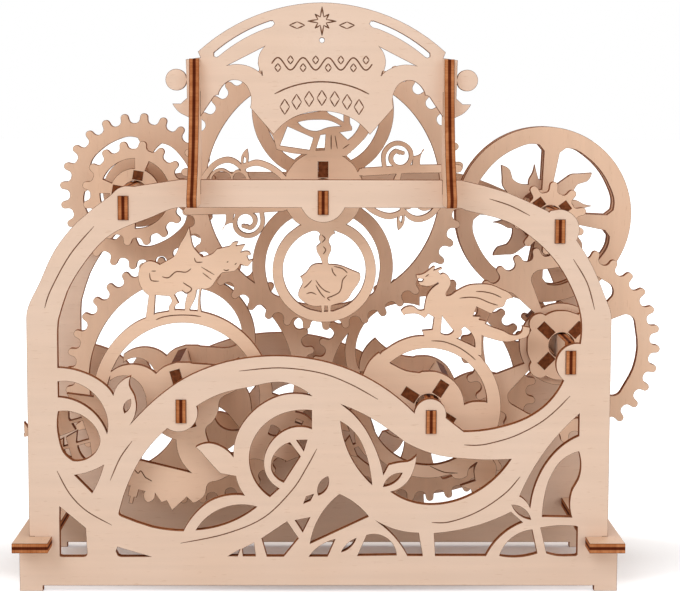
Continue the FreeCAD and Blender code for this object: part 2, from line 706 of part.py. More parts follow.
def rider():
    """Rider with a tall hood on a walking horse, drawn about the wheel centre."""
    body = polygon([
        (-11.3, 25.0), (-10.3, 32.0), (-11.8, 33.3), (-13.5, 38.2), (-13.0, 40.4), (-12.0, 41.8),
        (-10.3, 42.6), (-8.4, 42.3), (-6.9, 41.5), (-4.9, 42.6), (-2.6, 44.0), (-0.5, 48.1), (0.8, 50.2),
        (2.1, 53.1), (2.7, 49.9), (3.3, 47.2), (5.5, 44.4), (6.4, 43.9), (9.5, 45.1), (10.6, 46.3),
        (14.4, 47.2), (15.6, 48.4), (17.2, 48.4), (16.5, 47.3), (19.3, 47.8), (17.9, 45.3), (19.2, 45.7),
        (20.4, 45.5), (20.9, 44.5), (19.8, 44.2), (20.3, 42.9), (21.7, 43.2), (21.1, 42.2), (19.9, 40.9),
        (17.7, 41.6), (15.9, 39.5), (12.3, 39.0), (11.0, 37.8), (9.3, 35.2), (8.4, 34.4), (5.9, 34.1),
        (5.4, 30.4), (5.8, 27.0),
    ])
    leg_gaps = [
        polygon([(-8.7, 26.0), (-8.3, 32.1), (-4.1, 31.8), (-3.3, 30.3), (-4.1, 28.7), (-4.3, 26.0)]),
        polygon([
            (-2.1, 26.0), (-2.4, 28.1), (-1.1, 29.6), (-2.4, 32.1), (-1.2, 33.1), (1.5, 32.4),
            (0.8, 29.7), (0.5, 26.0),
        ]),
        polygon([
            (2.3, 26.0), (2.3, 27.9), (4.0, 31.5), (4.3, 33.6), (5.2, 34.0), (4.7, 30.2), (4.5, 26.0),
        ]),
    ]
    return body.cut(leg_gaps)


def ship():
    """Two-masted sailing ship; the water line is at zero."""
    hull = outline(
        [(-8.0, -1.5), (-10.5, 3.0), (-13.5, 5.6)],
        [(-13.5, 5.6), (0.0, 4.0), (11.5, 6.6)],
        [(11.5, 6.6), (9.5, 2.5), (8.0, -1.5)],
    )
    fore_mast = box(-5.1, 3.0, -4.1, 16.5)
    main_mast = box(2.0, 3.0, 3.0, 23.0)
    sails = [
        outline([(-10.0, 7.0), (-6.0, 8.2), (-0.6, 6.8)], [(-1.6, 10.8), (-9.0, 10.8)]),
        outline([(-8.8, 11.8), (-5.0, 12.6), (-1.6, 11.6)], [(-2.6, 15.2), (-7.4, 15.4)]),
        outline([(-0.2, 7.2), (4.0, 8.2), (8.2, 7.0)], [(7.2, 12.6), (-0.8, 12.4)]),
        outline([(-0.6, 13.6), (3.4, 14.4), (6.8, 13.4)], [(5.8, 18.4), (-0.2, 18.2)]),
        polygon([(2.5, 22.8), (6.6, 21.8), (2.5, 20.4)]),
    ]
    ropes = [polygon([(-13.0, 5.0), (-12.2, 5.0), (-4.2, 16.4), (-5.0, 16.4)])]
    return joined(hull, fore_mast, main_mast, *sails, *ropes)


def hills():
    """Mountain range with a small town in front of it."""
    return polygon([
        (-14.0, -5.5), (-13.6, 0.4), (-10.8, 3.6), (-8.4, 2.2), (-5.0, 7.4), (-2.6, 4.8), (-1.2, 5.8),
        (1.4, 3.4), (1.4, 5.4), (3.0, 6.8), (4.6, 5.4), (4.6, 3.6), (6.6, 3.6), (6.6, 6.2), (7.4, 6.2),
        (7.4, 8.4), (8.6, 8.4), (8.6, 6.2), (9.4, 6.2), (9.4, 3.0), (12.0, 3.0), (13.4, 0.2), (14.0, -5.5),
    ])


def castle():
    """Walled castle with two towers and a gate."""
    walls = polygon([
        (-11.0, -4.0), (-11.0, 6.6), (-10.0, 6.6), (-10.0, 5.8), (-9.0, 5.8), (-9.0, 6.6), (-8.0, 6.6),
        (-8.0, 10.6), (-5.6, 14.2), (-3.2, 10.6), (-3.2, 6.6), (-2.2, 6.6), (-2.2, 5.8), (-1.2, 5.8),
        (-1.2, 6.6), (0.0, 6.6), (0.0, 5.8), (1.0, 5.8), (1.0, 6.6), (2.0, 6.6), (2.0, 9.0), (1.4, 9.0),
        (4.6, 12.6), (7.8, 9.0), (7.2, 9.0), (7.2, 4.4), (10.2, 4.4), (11.4, -4.0),
    ])
    gate = outline([(-1.6, 1.0), (1.2, 1.0)], [(1.2, 3.2), (-0.2, 4.4), (-1.6, 3.2)])
    window = box(-6.2, 7.6, -5.0, 9.8)
    return walls.cut([gate, window])


def on_ring(figure, ring_radius, degrees):
    """Stand a figure on the outside of a ring at the given angle."""
    return turned(moved(figure, (0, ring_radius)), degrees - 90)


def left_wheel_front():
    base = joined(ring(LEFT_RING_OUT, LEFT_RING_IN), whale_tail(), disc(LEFT_HUB_R))
    scenes = [
        rider(),
        on_ring(ship(), LEFT_RING_OUT - FIGURE_SINK, 196),
        on_ring(hills(), LEFT_RING_OUT - FIGURE_SINK, 256),
        on_ring(castle(), LEFT_RING_OUT - FIGURE_SINK, 340),
    ]
    sheet = with_hub(joined(base, *scenes), BAR_ANGLE["left_wheel"], BAR_LONG)
    return plate(moved(sheet, LEFT), SCENE_LEFT_Y)


def rim(teeth, phase, wide):
    """Toothed rim; wide is measured inward from the root of the teeth."""
    return toothed_disc(teeth, phase).cut(disc(MODULE * teeth / 2 - DEDENDUM - wide))


def left_wheel_gear():
    toothed = rim(LEFT_TEETH, LEFT_PHASE, 4.6)
    crescent = ring(20.8, 16.6, (0.2, 13.6)).cut(polygon([(-30, -10), (2, -10), (2, 40), (-30, 40)]))
    arm = outline(
        [(13.0, 2.0), (18.0, -3.0), (20.0, -12.0), (24.0, -26.0)],
        [(24.0, -26.0), (18.5, -29.5)],
        [(18.5, -29.5), (15.5, -16.0), (9.0, -9.0), (0.0, -6.0)],
    )
    trunk = outline(
        [(-9.0, -4.0), (-5.0, -16.0), (-12.0, -26.0), (-19.0, -30.0)],
        [(-19.0, -30.0), (-8.0, -36.0), (8.0, -35.0)],
        [(8.0, -35.0), (4.0, -26.0), (4.5, -14.0), (9.0, -4.0)],
    )
    sheet = joined(toothed, crescent, whale_tail(), arm, trunk, disc(LEFT_HUB_R))
    return plate(moved(with_hub(sheet, BAR_ANGLE["left_wheel"], BAR_LONG, True), LEFT), REAR_GEAR_Y)


# Right wheel: ring, curved spokes and three scenes in front, gear behind
RIGHT_RING_OUT = 22.5
RIGHT_RING_IN = 18.4
RIGHT_HUB_R = 11.2


def curved_spokes():
    """Two broad tapering spokes that sweep from the hub to the ring."""
    left = outline(
        [(-2.0, 10.5), (-9.0, 12.0), (-15.5, 17.0)],
        [(-15.5, 17.0), (-19.5, 12.5), (-20.8, 6.0)],
        [(-20.8, 6.0), (-15.0, 4.5), (-9.5, -5.0)],
    )
    right = outline(
        [(4.0, 10.0), (8.5, 5.5), (10.5, 0.5)],
        [(10.5, 0.5), (14.0, 1.6), (20.8, 0.6)],
        [(20.8, 0.6), (20.5, -5.5), (17.5, -10.5)],
        [(17.5, -10.5), (11.0, -10.5), (5.0, -11.0)],
    )
    return joined(left, right)


def dragon():
    """Horned dragon with one raised wing, drawn about the wheel centre."""
    body = polygon([
        (-1.4, 21.6), (-2.2, 23.9), (1.0, 24.2), (1.5, 28.0), (-0.3, 29.1), (-1.4, 27.7), (-3.6, 29.0),
        (-7.2, 29.0), (-7.7, 28.3), (-8.8, 30.0), (-7.4, 31.2), (-4.6, 31.3), (-3.3, 30.3), (-1.6, 30.4),
        (-1.4, 31.9), (-0.5, 35.2), (2.8, 38.5), (2.6, 38.9), (0.8, 37.9), (-1.9, 37.8), (-3.1, 38.2),
        (-3.4, 39.1), (-2.2, 39.1), (-1.8, 39.9), (-4.1, 40.2), (-4.1, 41.2), (-2.5, 41.4), (1.2, 43.9),
        (1.8, 43.7), (1.3, 42.6), (3.7, 43.6), (4.0, 43.1), (2.7, 42.4), (3.4, 41.4), (4.2, 41.8),
        (6.3, 40.2), (6.6, 38.9), (5.2, 35.7), (5.3, 34.7), (6.5, 34.9), (7.9, 35.9), (9.9, 37.1),
        (12.0, 38.0), (15.4, 38.4), (18.9, 38.2), (22.3, 36.8), (25.1, 35.3), (26.0, 33.9), (23.9, 33.4),
        (23.2, 31.6), (20.5, 30.6), (19.3, 29.1), (14.6, 31.3), (13.6, 28.4), (15.9, 28.3), (15.4, 27.3),
        (17.6, 26.9), (17.4, 26.1), (19.4, 25.1), (23.1, 23.8), (25.2, 22.7), (27.3, 22.6), (28.5, 23.3),
        (28.8, 25.4), (31.2, 24.9), (30.9, 22.8), (29.7, 21.6), (23.9, 20.4), (18.0, 21.7), (16.4, 22.4),
        (16.4, 16.0), (0.0, 20.0),
    ])
    gaps = [
        polygon([(3.6, 23.2), (4.0, 28.4), (7.6, 23.8), (6.6, 22.8)]),
        polygon([(8.7, 21.4), (10.2, 22.9), (10.0, 24.3), (10.9, 25.1), (14.1, 21.0), (14.3, 18.8)]),
    ]
    return body.cut(gaps)


def fish():
    """Leaping fish above a wave."""
    wave = outline(
        [(-8.0, -3.0), (-7.0, 1.8), (-3.0, 2.4)],
        [(-3.0, 2.4), (0.0, 0.8), (3.6, 2.6)],
        [(7.5, 0.5), (8.0, -3.0)],
    )
    body = outline([(-6.0, 2.0), (-4.0, 7.4), (3.0, 8.6)], [(3.0, 8.6), (2.4, 4.6), (-2.4, 0.6)])
    tail = polygon([(2.0, 7.4), (7.2, 10.4), (5.4, 7.0), (7.4, 3.8), (2.2, 5.6)])
    return joined(wave, body, tail)


def pine_trees():
    """Two pines on a rock."""
    rock = polygon([(-8.5, -3.5), (-8.0, 1.6), (-3.0, 3.2), (2.5, 2.0), (7.0, 2.6), (8.5, -3.5)])
    tall = polygon([
        (-4.4, 2.0), (-4.4, 4.0), (-7.4, 4.0), (-5.2, 7.4), (-6.6, 7.4), (-4.8, 10.8), (-5.6, 10.8),
        (-3.8, 15.4), (-2.0, 10.8), (-2.8, 10.8), (-1.0, 7.4), (-2.4, 7.4), (-0.2, 4.0), (-3.2, 4.0),
        (-3.2, 2.0),
    ])
    low = polygon([
        (3.4, 1.0), (3.4, 3.6), (1.0, 3.6), (2.8, 6.6), (1.8, 6.6), (4.0, 11.0), (6.2, 6.6), (5.2, 6.6),
        (7.0, 3.6), (4.6, 3.6), (4.6, 1.0),
    ])
    return joined(rock, tall, low)


def right_wheel_front():
    base = joined(ring(RIGHT_RING_OUT, RIGHT_RING_IN), curved_spokes(), disc(RIGHT_HUB_R))
    scenes = [
        dragon(),
        on_ring(fish(), RIGHT_RING_OUT - FIGURE_SINK, -52),
        on_ring(pine_trees(), RIGHT_RING_OUT - FIGURE_SINK, 200),
    ]
    sheet = with_hub(joined(base, *scenes), BAR_ANGLE["right_wheel"], BAR_LONG)
    return plate(moved(sheet, RIGHT), SCENE_RIGHT_Y)


def right_wheel_gear():
    toothed = rim(RIGHT_TEETH, RIGHT_PHASE, 3.4)
    crescent = ring(19.5, 16.0, (-6.0, 12.5)).cut(polygon([(-1, -20), (30, -20), (30, 40), (-1, 40)]))
    sweep = outline(
        [(10.0, 3.0), (20.0, 6.0), (31.6, 1.0)],
        [(31.6, 1.0), (32.0, -7.0), (29.0, -15.0)],
        [(29.0, -15.0), (18.0, -9.0), (6.0, -9.0)],
    )
    low = outline(
        [(5.0, -10.0), (3.0, -20.0), (8.0, -31.5)],
        [(8.0, -31.5), (-2.0, -32.5), (-12.0, -30.0)],
        [(-12.0, -30.0), (-6.0, -20.0), (-8.0, -8.0)],
    )
    sheet = joined(toothed, crescent, curved_spokes(), sweep, low, disc(RIGHT_HUB_R))
    return plate(moved(with_hub(sheet, BAR_ANGLE["right_wheel"], BAR_LONG, True), RIGHT), REAR_GEAR_Y)


# Centre wheel: two ringed figures and scroll arms in front, the widest gear behind
LADY_RING = (0.45, -24.6)
LADY_RING_OUT = 16.1
LADY_RING_IN = 12.9
DANCER_RING = (-1.4, 26.3)
RIGHT_ARM_RISE = 1.3


def lady():
    """Lady with piled hair and a folded gown, drawn about the middle of her ring."""
    return polygon([
        (-2.5, 12.7), (-1.3, 11.2), (-1.7, 10.0), (-1.1, 8.8), (-2.5, 7.5), (-2.2, 5.7), (-1.3, 4.2),
        (-0.7, 2.2), (-4.0, 1.6), (-5.6, -0.5), (-7.5, -1.9), (-6.8, -4.0), (-7.6, -5.6), (-8.1, -7.8),
        (-6.7, -9.5), (-4.4, -10.8), (-1.0, -11.0), (-0.8, -13.4), (0.0, -13.4), (0.2, -11.0), (1.0, -11.0),
        (1.2, -13.4), (2.0, -13.4), (2.2, -10.9), (3.4, -10.5), (6.9, -9.3), (9.0, -6.2), (10.6, -4.0),
        (11.3, -2.1), (11.1, -0.8), (8.0, 0.5), (4.9, 1.7), (1.4, 2.0), (1.2, 3.8), (2.2, 7.3), (1.5, 8.8),
        (1.7, 10.2), (3.4, 11.6), (2.9, 12.9),
    ])


def dancer_ring():
    """Ring around the dancer, flattened where it meets the wheel."""
    outer = outline(
        [(7.2, 11.0), (9.9, 13.3), (14.7, 19.3)],
        [(14.7, 19.3), (DANCER_RING[0], DANCER_RING[1] + 17.4), (-17.9, 20.7)],
        [(-17.9, 20.7), (-15.2, 16.0), (-14.5, 13.1)],
        [(-14.5, 13.1), (-10.4, 12.0)],
    )
    return outer.cut(disc(13.9, DANCER_RING))


def dancer():
    """Dancer in a folded skirt and a bowed shawl, in a ring; drawn about the wheel centre."""
    body = polygon([
        (-14.2, 21.4), (-11.5, 21.9), (-7.8, 23.5), (-3.4, 24.5), (-0.6, 24.9), (-0.6, 27.4), (1.2, 27.4),
        (1.2, 24.9), (4.3, 22.8), (6.3, 21.6), (6.3, 39.0), (7.9, 38.0), (8.3, 21.3), (9.0, 19.5),
        (8.8, 18.9), (5.2, 18.3), (8.6, 15.2), (8.6, 12.0), (0.0, 11.0), (-10.4, 12.0), (-14.5, 13.1),
    ])
    gaps = [
        polygon([(-11.0, 20.1), (-3.0, 16.6), (-4.2, 12.9), (-13.3, 14.2)]),
        polygon([(-0.8, 17.5), (0.8, 17.7), (0.4, 12.9), (-2.2, 12.8)]),
        polygon([
            (-7.8, 21.4), (-5.1, 22.0), (-1.6, 22.2), (1.0, 22.1), (5.5, 20.2), (1.3, 19.8), (-2.0, 18.7),
        ]),
    ]
    return joined(body, disc(2.6, (0.3, 29.5)), dancer_ring()).cut(gaps)


def scroll_arm():
    """Left arm of the centre wheel: a bar, a spiral below it and two arches with a flame above."""
    bar = ribbon([(-12.0, -4.8), (-28.0, -5.8), (-42.0, -6.0)], 2.6, 2)
    winding = ribbon(spiral((-23.6, -9.4), 5.0, 1.7, 15, -1.4), 1.5, 14)
    stem = ribbon([(-20.4, -4.6), (-19.1, -6.0), (-18.8, -8.2)], 1.5, 2)
    arches = [
        ribbon([(-37.6, -5.4), (-35.6, 6.0), (-30.5, 9.7), (-25.2, 7.4)], 1.9, 6),
        ribbon([(-25.2, 7.4), (-19.4, 8.7), (-14.6, 6.4), (-11.0, 3.0)], 1.9, 4),
        ribbon([(-25.0, 7.4), (-22.6, 2.6), (-23.6, -4.8)], 1.7, 2),
    ]
    rings = [
        ribbon([(-34.9, 2.0), (-31.3, 6.7), (-27.9, 2.0)], 1.0, 4),
        ribbon([(-28.0, 2.0), (-25.3, 6.3), (-22.9, 3.0)], 1.0, 4),
        ribbon([(-35.4, 2.0), (-28.0, 1.4), (-22.6, 2.0)], 1.6, 2),
    ]
    flame = polygon([
        (-25.3, 7.4), (-25.4, 10.0), (-25.1, 11.3), (-23.4, 13.3), (-23.0, 10.8), (-23.3, 7.4),
    ]).cut(polygon([(-24.7, 8.8), (-24.4, 10.8), (-23.8, 10.0), (-24.1, 8.8)]))
    leaf = polygon([
        (-27.4, -6.0), (-30.1, -6.8), (-30.1, -8.8), (-31.2, -11.9), (-30.3, -10.6), (-28.0, -9.8),
    ])
    return joined(bar, winding, stem, flame, leaf, *arches, *rings)


def centre_wheel_front():
    lady_medal = moved(joined(ring(LADY_RING_OUT, LADY_RING_IN), lady()), LADY_RING)
    arms = [scroll_arm(), moved(turned(scroll_arm(), 180), (0, RIGHT_ARM_RISE))]
    sheet = joined(disc(12.6), lady_medal, dancer(), *arms)
    sheet = with_hub(sheet, BAR_ANGLE["centre"], BAR_LONG)
    return plate(moved(sheet, CENTRE), SCENE_CENTRE_Y)


def centre_gear():
    toothed = rim(CENTRE_TEETH, CENTRE_PHASE, 4.8)
    loops = [ring(22.6, 18.4, (0, z)).common(disc(40.0)) for z in (-25, 25)]
    sheet = joined(toothed, disc(13.0), *loops)
    return plate(moved(with_hub(sheet, BAR_ANGLE["centre"], BAR_LONG, True), CENTRE), CENTRE_GEAR_Y)


# Upper left pair of gears
def arc_window(inner, outer, start, end):
    """Curved slot between two radii and two angles."""
    middle = (start + end) / 2
    return outline(
        [polar(outer, start), polar(outer, middle), polar(outer, end)],
        [polar(outer, end), polar(inner, end)],
        [polar(inner, end), polar(inner, middle), polar(inner, start)],
    )


def upper_small_gear():
    windows = [arc_window(8.0, 11.2, a + 12, a + 78) for a in (78, 168, 258, 348)]
    sheet = toothed_disc(SMALL_TEETH, SMALL_PHASE, SMALL_ADDENDUM).cut(windows)
    return plate(moved(with_hub(sheet, BAR_ANGLE["upper_left"], BAR_SHORT), UPPER), CENTRE_GEAR_Y)


def rounded_window(inner, outer, start, end):
    """Arc window with softened outer corners."""
    middle = (start + end) / 2
    soft = outer - 2.5
    return outline(
        [polar(inner, start), polar(soft, start + 3)],
        [polar(soft, start + 3), polar(outer - 0.6, start + 6), polar(outer, start + 13)],
        [polar(outer, start + 13), polar(outer, middle), polar(outer, end - 13)],
        [polar(outer, end - 13), polar(outer - 0.6, end - 6), polar(soft, end - 3)],
        [polar(soft, end - 3), polar(inner, end)],
        [polar(inner, end), polar(inner, middle), polar(inner, start)],
    )


def upper_large_gear():
    windows = [rounded_window(11.5, 18.0, a + 7, a + 83) for a in (77, 167, 257, 347)]
    sheet = toothed_disc(UPPER_TEETH, UPPER_PHASE).cut(windows)
    return plate(moved(with_hub(sheet, BAR_ANGLE["upper_left"], BAR_SHORT, True), UPPER), REAR_GEAR_Y)


# Idler: gear with four spokes, its hub disc and the rear pinion
def idler_gear():
    windows = [rounded_window(13.0, 24.4, a + 6, a + 84) for a in (34.4, 124.4, 214.4, 304.4)]
    sheet = toothed_disc(IDLER_TEETH, IDLER_PHASE).cut(windows)
    return plate(moved(with_hub(sheet, BAR_ANGLE["idler"], BAR_LONG, True), IDLER), IDLER_Y)


def idler_hub():
    lobes = joined(disc(11.0), *[disc(3.4, polar(9.6, BAR_ANGLE["idler"] + 90 * k)) for k in range(4)])
    return plate(moved(with_hub(lobes, BAR_ANGLE["idler"], BAR_LONG), IDLER), IDLER_HUB_Y)


def idler_pinion():
    sheet = toothed_disc(PINION_TEETH, REAR_PINION_PHASE)
    return plate(moved(with_hub(sheet, BAR_ANGLE["idler"], BAR_SHORT), IDLER), REAR_GEAR_Y)


# Hand wheel: two spoked discs with a sun between them, and the front pinion
WHEEL_R = 28.4
WHEEL_IN = 23.2
WHEEL_HUB_R = 8.2


def spoke_window(start, end):
    """Opening between two spokes of the hand wheel, with straight corners at the rim."""
    middle, cut_in = (start + end) / 2, WHEEL_IN - 2.6
    return outline(
        [polar(WHEEL_HUB_R, start + 4), polar(cut_in, start)],
        [polar(cut_in, start), polar(WHEEL_IN - 0.6, start + 4), polar(WHEEL_IN, start + 10)],
        [polar(WHEEL_IN, start + 10), polar(WHEEL_IN, middle), polar(WHEEL_IN, end - 10)],
        [polar(WHEEL_IN, end - 10), polar(WHEEL_IN - 0.6, end - 4), polar(cut_in, end)],
        [polar(cut_in, end), polar(WHEEL_HUB_R, end - 4)],
        [polar(WHEEL_HUB_R, end - 4), polar(WHEEL_HUB_R, middle), polar(WHEEL_HUB_R, start + 4)],
    )


def hand_disc(front_y, carrier):
    windows = [spoke_window(a, a + 76) for a in (0, 90, 180, 270)]
    sheet = disc(WHEEL_R).cut(windows)
    return plate(moved(with_hub(sheet, BAR_ANGLE["hand_wheel"], BAR_SHORT, carrier), HAND), front_y)


def sun():
    """Disc with four long wavy rays and four short ones."""
    long_ray = polygon([
        (3.0, 8.6), (4.5, 9.7), (7.1, 11.6), (9.3, 13.0), (12.0, 13.2), (15.9, 13.5), (14.2, 10.6),
        (11.5, 9.8), (10.4, 8.4), (9.7, 4.6), (8.0, 3.0),
    ])
    short_ray = polygon([
        (8.0, 4.6), (10.8, 4.6), (13.5, 3.3), (16.1, 2.7), (13.0, 1.9), (11.4, 1.4), (11.1, 0.0),
        (8.0, -1.0),
    ])
    rays = [turned(ray, 90 * k) for ray in (long_ray, short_ray) for k in range(4)]
    sheet = joined(disc(9.4), *rays)
    return plate(moved(with_hub(sheet, BAR_ANGLE["hand_wheel"], BAR_SHORT), HAND), HAND_WHEEL_Y + PLY)


def hand_pinion():
    sheet = toothed_disc(PINION_TEETH, HAND_PINION_PHASE)
    return plate(moved(with_hub(sheet, BAR_ANGLE["hand_wheel"], BAR_SHORT), HAND), IDLER_Y)


def parts():
    """Every node of the model by name."""
    left_plank, left_bracket = base_plank(), bracket()
    nodes = {
        "front_frame": front_frame(),
        "back_frame": back_frame(),
        "base_plank_left": left_plank,
        "base_plank_right": mirrored(left_plank),
        "bracket_left": left_bracket,
        "bracket_right": mirrored(left_bracket, MID_X),
        "theater_sign": theater_sign(),
    }
    for name, centre in AXLES.items():
        nodes["axle_" + name] = moved(axle_bar(), centre)
    nodes.update({
        "left_wheel_front": left_wheel_front(),
        "left_wheel_gear": left_wheel_gear(),
        "left_wheel_bars": distance_bars("left_wheel", SCENE_LEFT_Y, REAR_GEAR_Y + PLY, PLY, PLY),
        "right_wheel_front": right_wheel_front(),
        "right_wheel_gear": right_wheel_gear(),
        "right_wheel_bars": distance_bars("right_wheel", SCENE_RIGHT_Y, REAR_GEAR_Y + PLY, PLY, PLY),
        "centre_wheel_front": centre_wheel_front(),
        "centre_gear": centre_gear(),
        "centre_wheel_bars": distance_bars("centre", SCENE_CENTRE_Y, CENTRE_GEAR_Y + PLY, PLY, PLY),
        "upper_small_gear": upper_small_gear(),
        "upper_large_gear": upper_large_gear(),
        "upper_gear_bars": distance_bars(
            "upper_left", CENTRE_GEAR_Y, REAR_GEAR_Y + PLY, PLY, PLY, BAR_SHORT, BAR_SHORT),
        "idler_hub": idler_hub(),
        "idler_gear": idler_gear(),
        "idler_pinion": idler_pinion(),
        "idler_bars": distance_bars(
            "idler", IDLER_HUB_Y, REAR_GEAR_Y + PLY, 2 * PLY, PLY, BAR_LONG, BAR_SHORT),
        "hand_wheel_pinion": hand_pinion(),
        "hand_wheel_front_disc": hand_disc(HAND_WHEEL_Y, True),
        "hand_wheel_sun": sun(),
        "hand_wheel_rear_disc": hand_disc(HAND_WHEEL_Y + 2 * PLY, False),
        "hand_wheel_bars": distance_bars(
            "hand_wheel", IDLER_Y, HAND_WHEEL_Y + 3 * PLY, PLY, 3 * PLY, BAR_SHORT, BAR_SHORT),
    })
    return nodes


for node, shape in parts().items():
    placed = shape.copy()
    placed.translate(DATUM)
    placed.exportStep("parts/" + node + ".step")
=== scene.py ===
import json
import math

import bmesh
import bpy
from mathutils import Matrix, Vector
from mathutils.geometry import delaunay_2d_cdt

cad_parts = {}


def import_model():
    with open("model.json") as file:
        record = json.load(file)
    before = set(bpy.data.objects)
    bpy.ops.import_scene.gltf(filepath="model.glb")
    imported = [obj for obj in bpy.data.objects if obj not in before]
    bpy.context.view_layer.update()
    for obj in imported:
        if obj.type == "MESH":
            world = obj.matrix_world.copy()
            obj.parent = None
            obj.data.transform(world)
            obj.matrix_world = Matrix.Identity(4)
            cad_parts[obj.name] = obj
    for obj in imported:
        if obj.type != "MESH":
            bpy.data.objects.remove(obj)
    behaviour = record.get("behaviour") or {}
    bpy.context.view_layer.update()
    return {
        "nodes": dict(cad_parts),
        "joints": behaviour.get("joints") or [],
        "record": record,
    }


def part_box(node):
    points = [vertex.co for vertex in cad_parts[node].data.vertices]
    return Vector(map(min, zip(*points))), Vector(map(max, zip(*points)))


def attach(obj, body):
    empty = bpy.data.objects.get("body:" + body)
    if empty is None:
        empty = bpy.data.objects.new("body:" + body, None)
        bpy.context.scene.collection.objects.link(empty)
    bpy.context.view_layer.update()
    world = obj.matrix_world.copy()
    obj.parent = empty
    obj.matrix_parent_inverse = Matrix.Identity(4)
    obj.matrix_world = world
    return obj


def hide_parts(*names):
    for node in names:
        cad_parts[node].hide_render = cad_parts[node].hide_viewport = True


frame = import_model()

MM = 0.001
ALONG_X, ALONG_Y, ALONG_Z = range(3)

# Places taken from the frame
FRONT_LOW, FRONT_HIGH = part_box("front_frame")
MIDDLE_X = (FRONT_LOW.x + FRONT_HIGH.x) / 2
FRONT_Y = FRONT_LOW.y
TURNING = {joint["child"]: Vector(joint["pos_m"]) for joint in frame["joints"]}
BODY_OF = {
    node: body for body, nodes in frame["record"]["behaviour"]["bodies"].items() for node in nodes
}

# Colours
WHITE = (1.0, 1.0, 1.0)
PALE_PLY = (0.76, 0.57, 0.445)
# Warmer, redder ply for the pieces between the frames: painted warm shade, standing in for light bounced
# between the plates
PAINTED_WARM_SHADE_PLY = (0.76, 0.53, 0.38)
EDGE_OUTER = (0.56, 0.225, 0.09)
EDGE_CORE = (0.11, 0.02, 0.005)
CHAR = (0.17, 0.065, 0.03)
BAR_CHAR = (0.17, 0.05, 0.018)
ENGRAVED = (0.17, 0.075, 0.04)
FLOOR_GREY = (0.86, 0.86, 0.86)

# Roughness and gloss
PLY_FINISH = (0.6, 0.25)
SOOT_FINISH = (0.7, 0.04)
FLOOR_FINISH = (0.9, 0.25)

# Grain as noise scales per metre, along and across it, with the detail of the noise
STREAKS = (18.0, 420.0, 4.0)
PORES = (260.0, 2600.0, 2.0)
CLOUD_SCALE = 34.0
CLOUD_DETAIL = 2.0
GRAIN_DEPTH = 0.04 * MM
GRAIN_STRENGTH = 0.1

# Laser marks and soot as noise scales per metre
MARKS_ALONG_CUT = 2200.0
MARKS_THROUGH_SHEET = 120.0
STAIN_SCALE = 260.0
SOOT_SCALE = 900.0
BURN_DETAIL = 3.0

# What the noise does to a colour, as stops of a ramp with a factor or a tint
STREAK_STOPS = [(0.3, 0.965), (0.7, 1.02)]
SOOT_STOPS = [(0.35, 0.6), (0.65, 1.25)]
CLOUD_STOPS = [(0.3, (0.985, 0.96, 0.935)), (0.65, WHITE)]
PORE_STOPS = [(0.27, (0.9, 0.85, 0.8)), (0.34, WHITE)]
MARK_STOPS = [(0.35, (0.8, 0.74, 0.7)), (0.65, WHITE)]
STAIN_STOPS = [(0.35, (0.75, 0.62, 0.52)), (0.65, WHITE)]


# Materials
def new_material(name, finish):
    material = bpy.data.materials.new(name)
    material.use_nodes = True
    shader = material.node_tree.nodes["Principled BSDF"]
    for value, place in zip(finish, ("Roughness", "Specular IOR Level")):
        shader.inputs[place].default_value = value
    return material, material.node_tree.nodes, material.node_tree.links, shader


def noise(nodes, links, vector, scale, detail):
    texture = nodes.new("ShaderNodeTexNoise")
    texture.inputs["Scale"].default_value = scale
    texture.inputs["Detail"].default_value = detail
    links.new(vector, texture.inputs["Vector"])
    return texture.outputs["Fac"]


def ramp(nodes, links, value, stops):
    """Colour ramp through (position, colour) stops."""
    node = nodes.new("ShaderNodeValToRGB")
    elements = node.color_ramp.elements
    while len(elements) < len(stops):
        elements.new(0.5)
    for element, (position, colour) in zip(elements, stops):
        element.position = position
        element.color = (*colour, 1.0)
    links.new(value, node.inputs["Fac"])
    return node.outputs["Color"]


def stretched(nodes, links, vector, scale, shift=(0.0, 0.0, 0.0)):
    node = nodes.new("ShaderNodeMapping")
    node.inputs["Scale"].default_value = scale
    node.inputs["Location"].default_value = shift
    links.new(vector, node.inputs["Vector"])
    return node.outputs["Vector"]


def multiplied(nodes, links, first, second):
    node = nodes.new("ShaderNodeMix")
    node.data_type = "RGBA"
    node.blend_type = "MULTIPLY"
    node.inputs["Factor"].default_value = 1.0
    links.new(first, node.inputs["A"])
    links.new(second, node.inputs["B"])
    return node.outputs["Result"]


def shade(colour, factor):
    return tuple(channel * factor for channel in colour)


def shades(colour, stops):
    return [(position, shade(colour, factor)) for position, factor in stops]


def ply_face(name, colour, along, shift):
    """Sanded birch face: cloudy tone, soft long grain and sparse fine pores along one axis."""
    material, nodes, links, shader = new_material(name, PLY_FINISH)
    place = nodes.new("ShaderNodeTexCoord").outputs["Object"]

    def grain(long_scale, cross_scale, detail):
        scale = [cross_scale] * 3
        scale[along] = long_scale
        return noise(nodes, links, stretched(nodes, links, place, scale, shift), 1.0, detail)

    streaks = grain(*STREAKS)
    tone = ramp(nodes, links, streaks, shades(colour, STREAK_STOPS))
    shifted = stretched(nodes, links, place, (1.0, 1.0, 1.0), shift)
    clouds = noise(nodes, links, shifted, CLOUD_SCALE, CLOUD_DETAIL)
    cloud = ramp(nodes, links, clouds, CLOUD_STOPS)
    pore = ramp(nodes, links, grain(*PORES), PORE_STOPS)
    toned = multiplied(nodes, links, multiplied(nodes, links, tone, cloud), pore)
    links.new(toned, shader.inputs["Base Color"])
    bump = nodes.new("ShaderNodeBump")
    bump.inputs["Strength"].default_value = GRAIN_STRENGTH
    bump.inputs["Distance"].default_value = GRAIN_DEPTH
    links.new(streaks, bump.inputs["Height"])
    links.new(bump.outputs["Normal"], shader.inputs["Normal"])
    return material


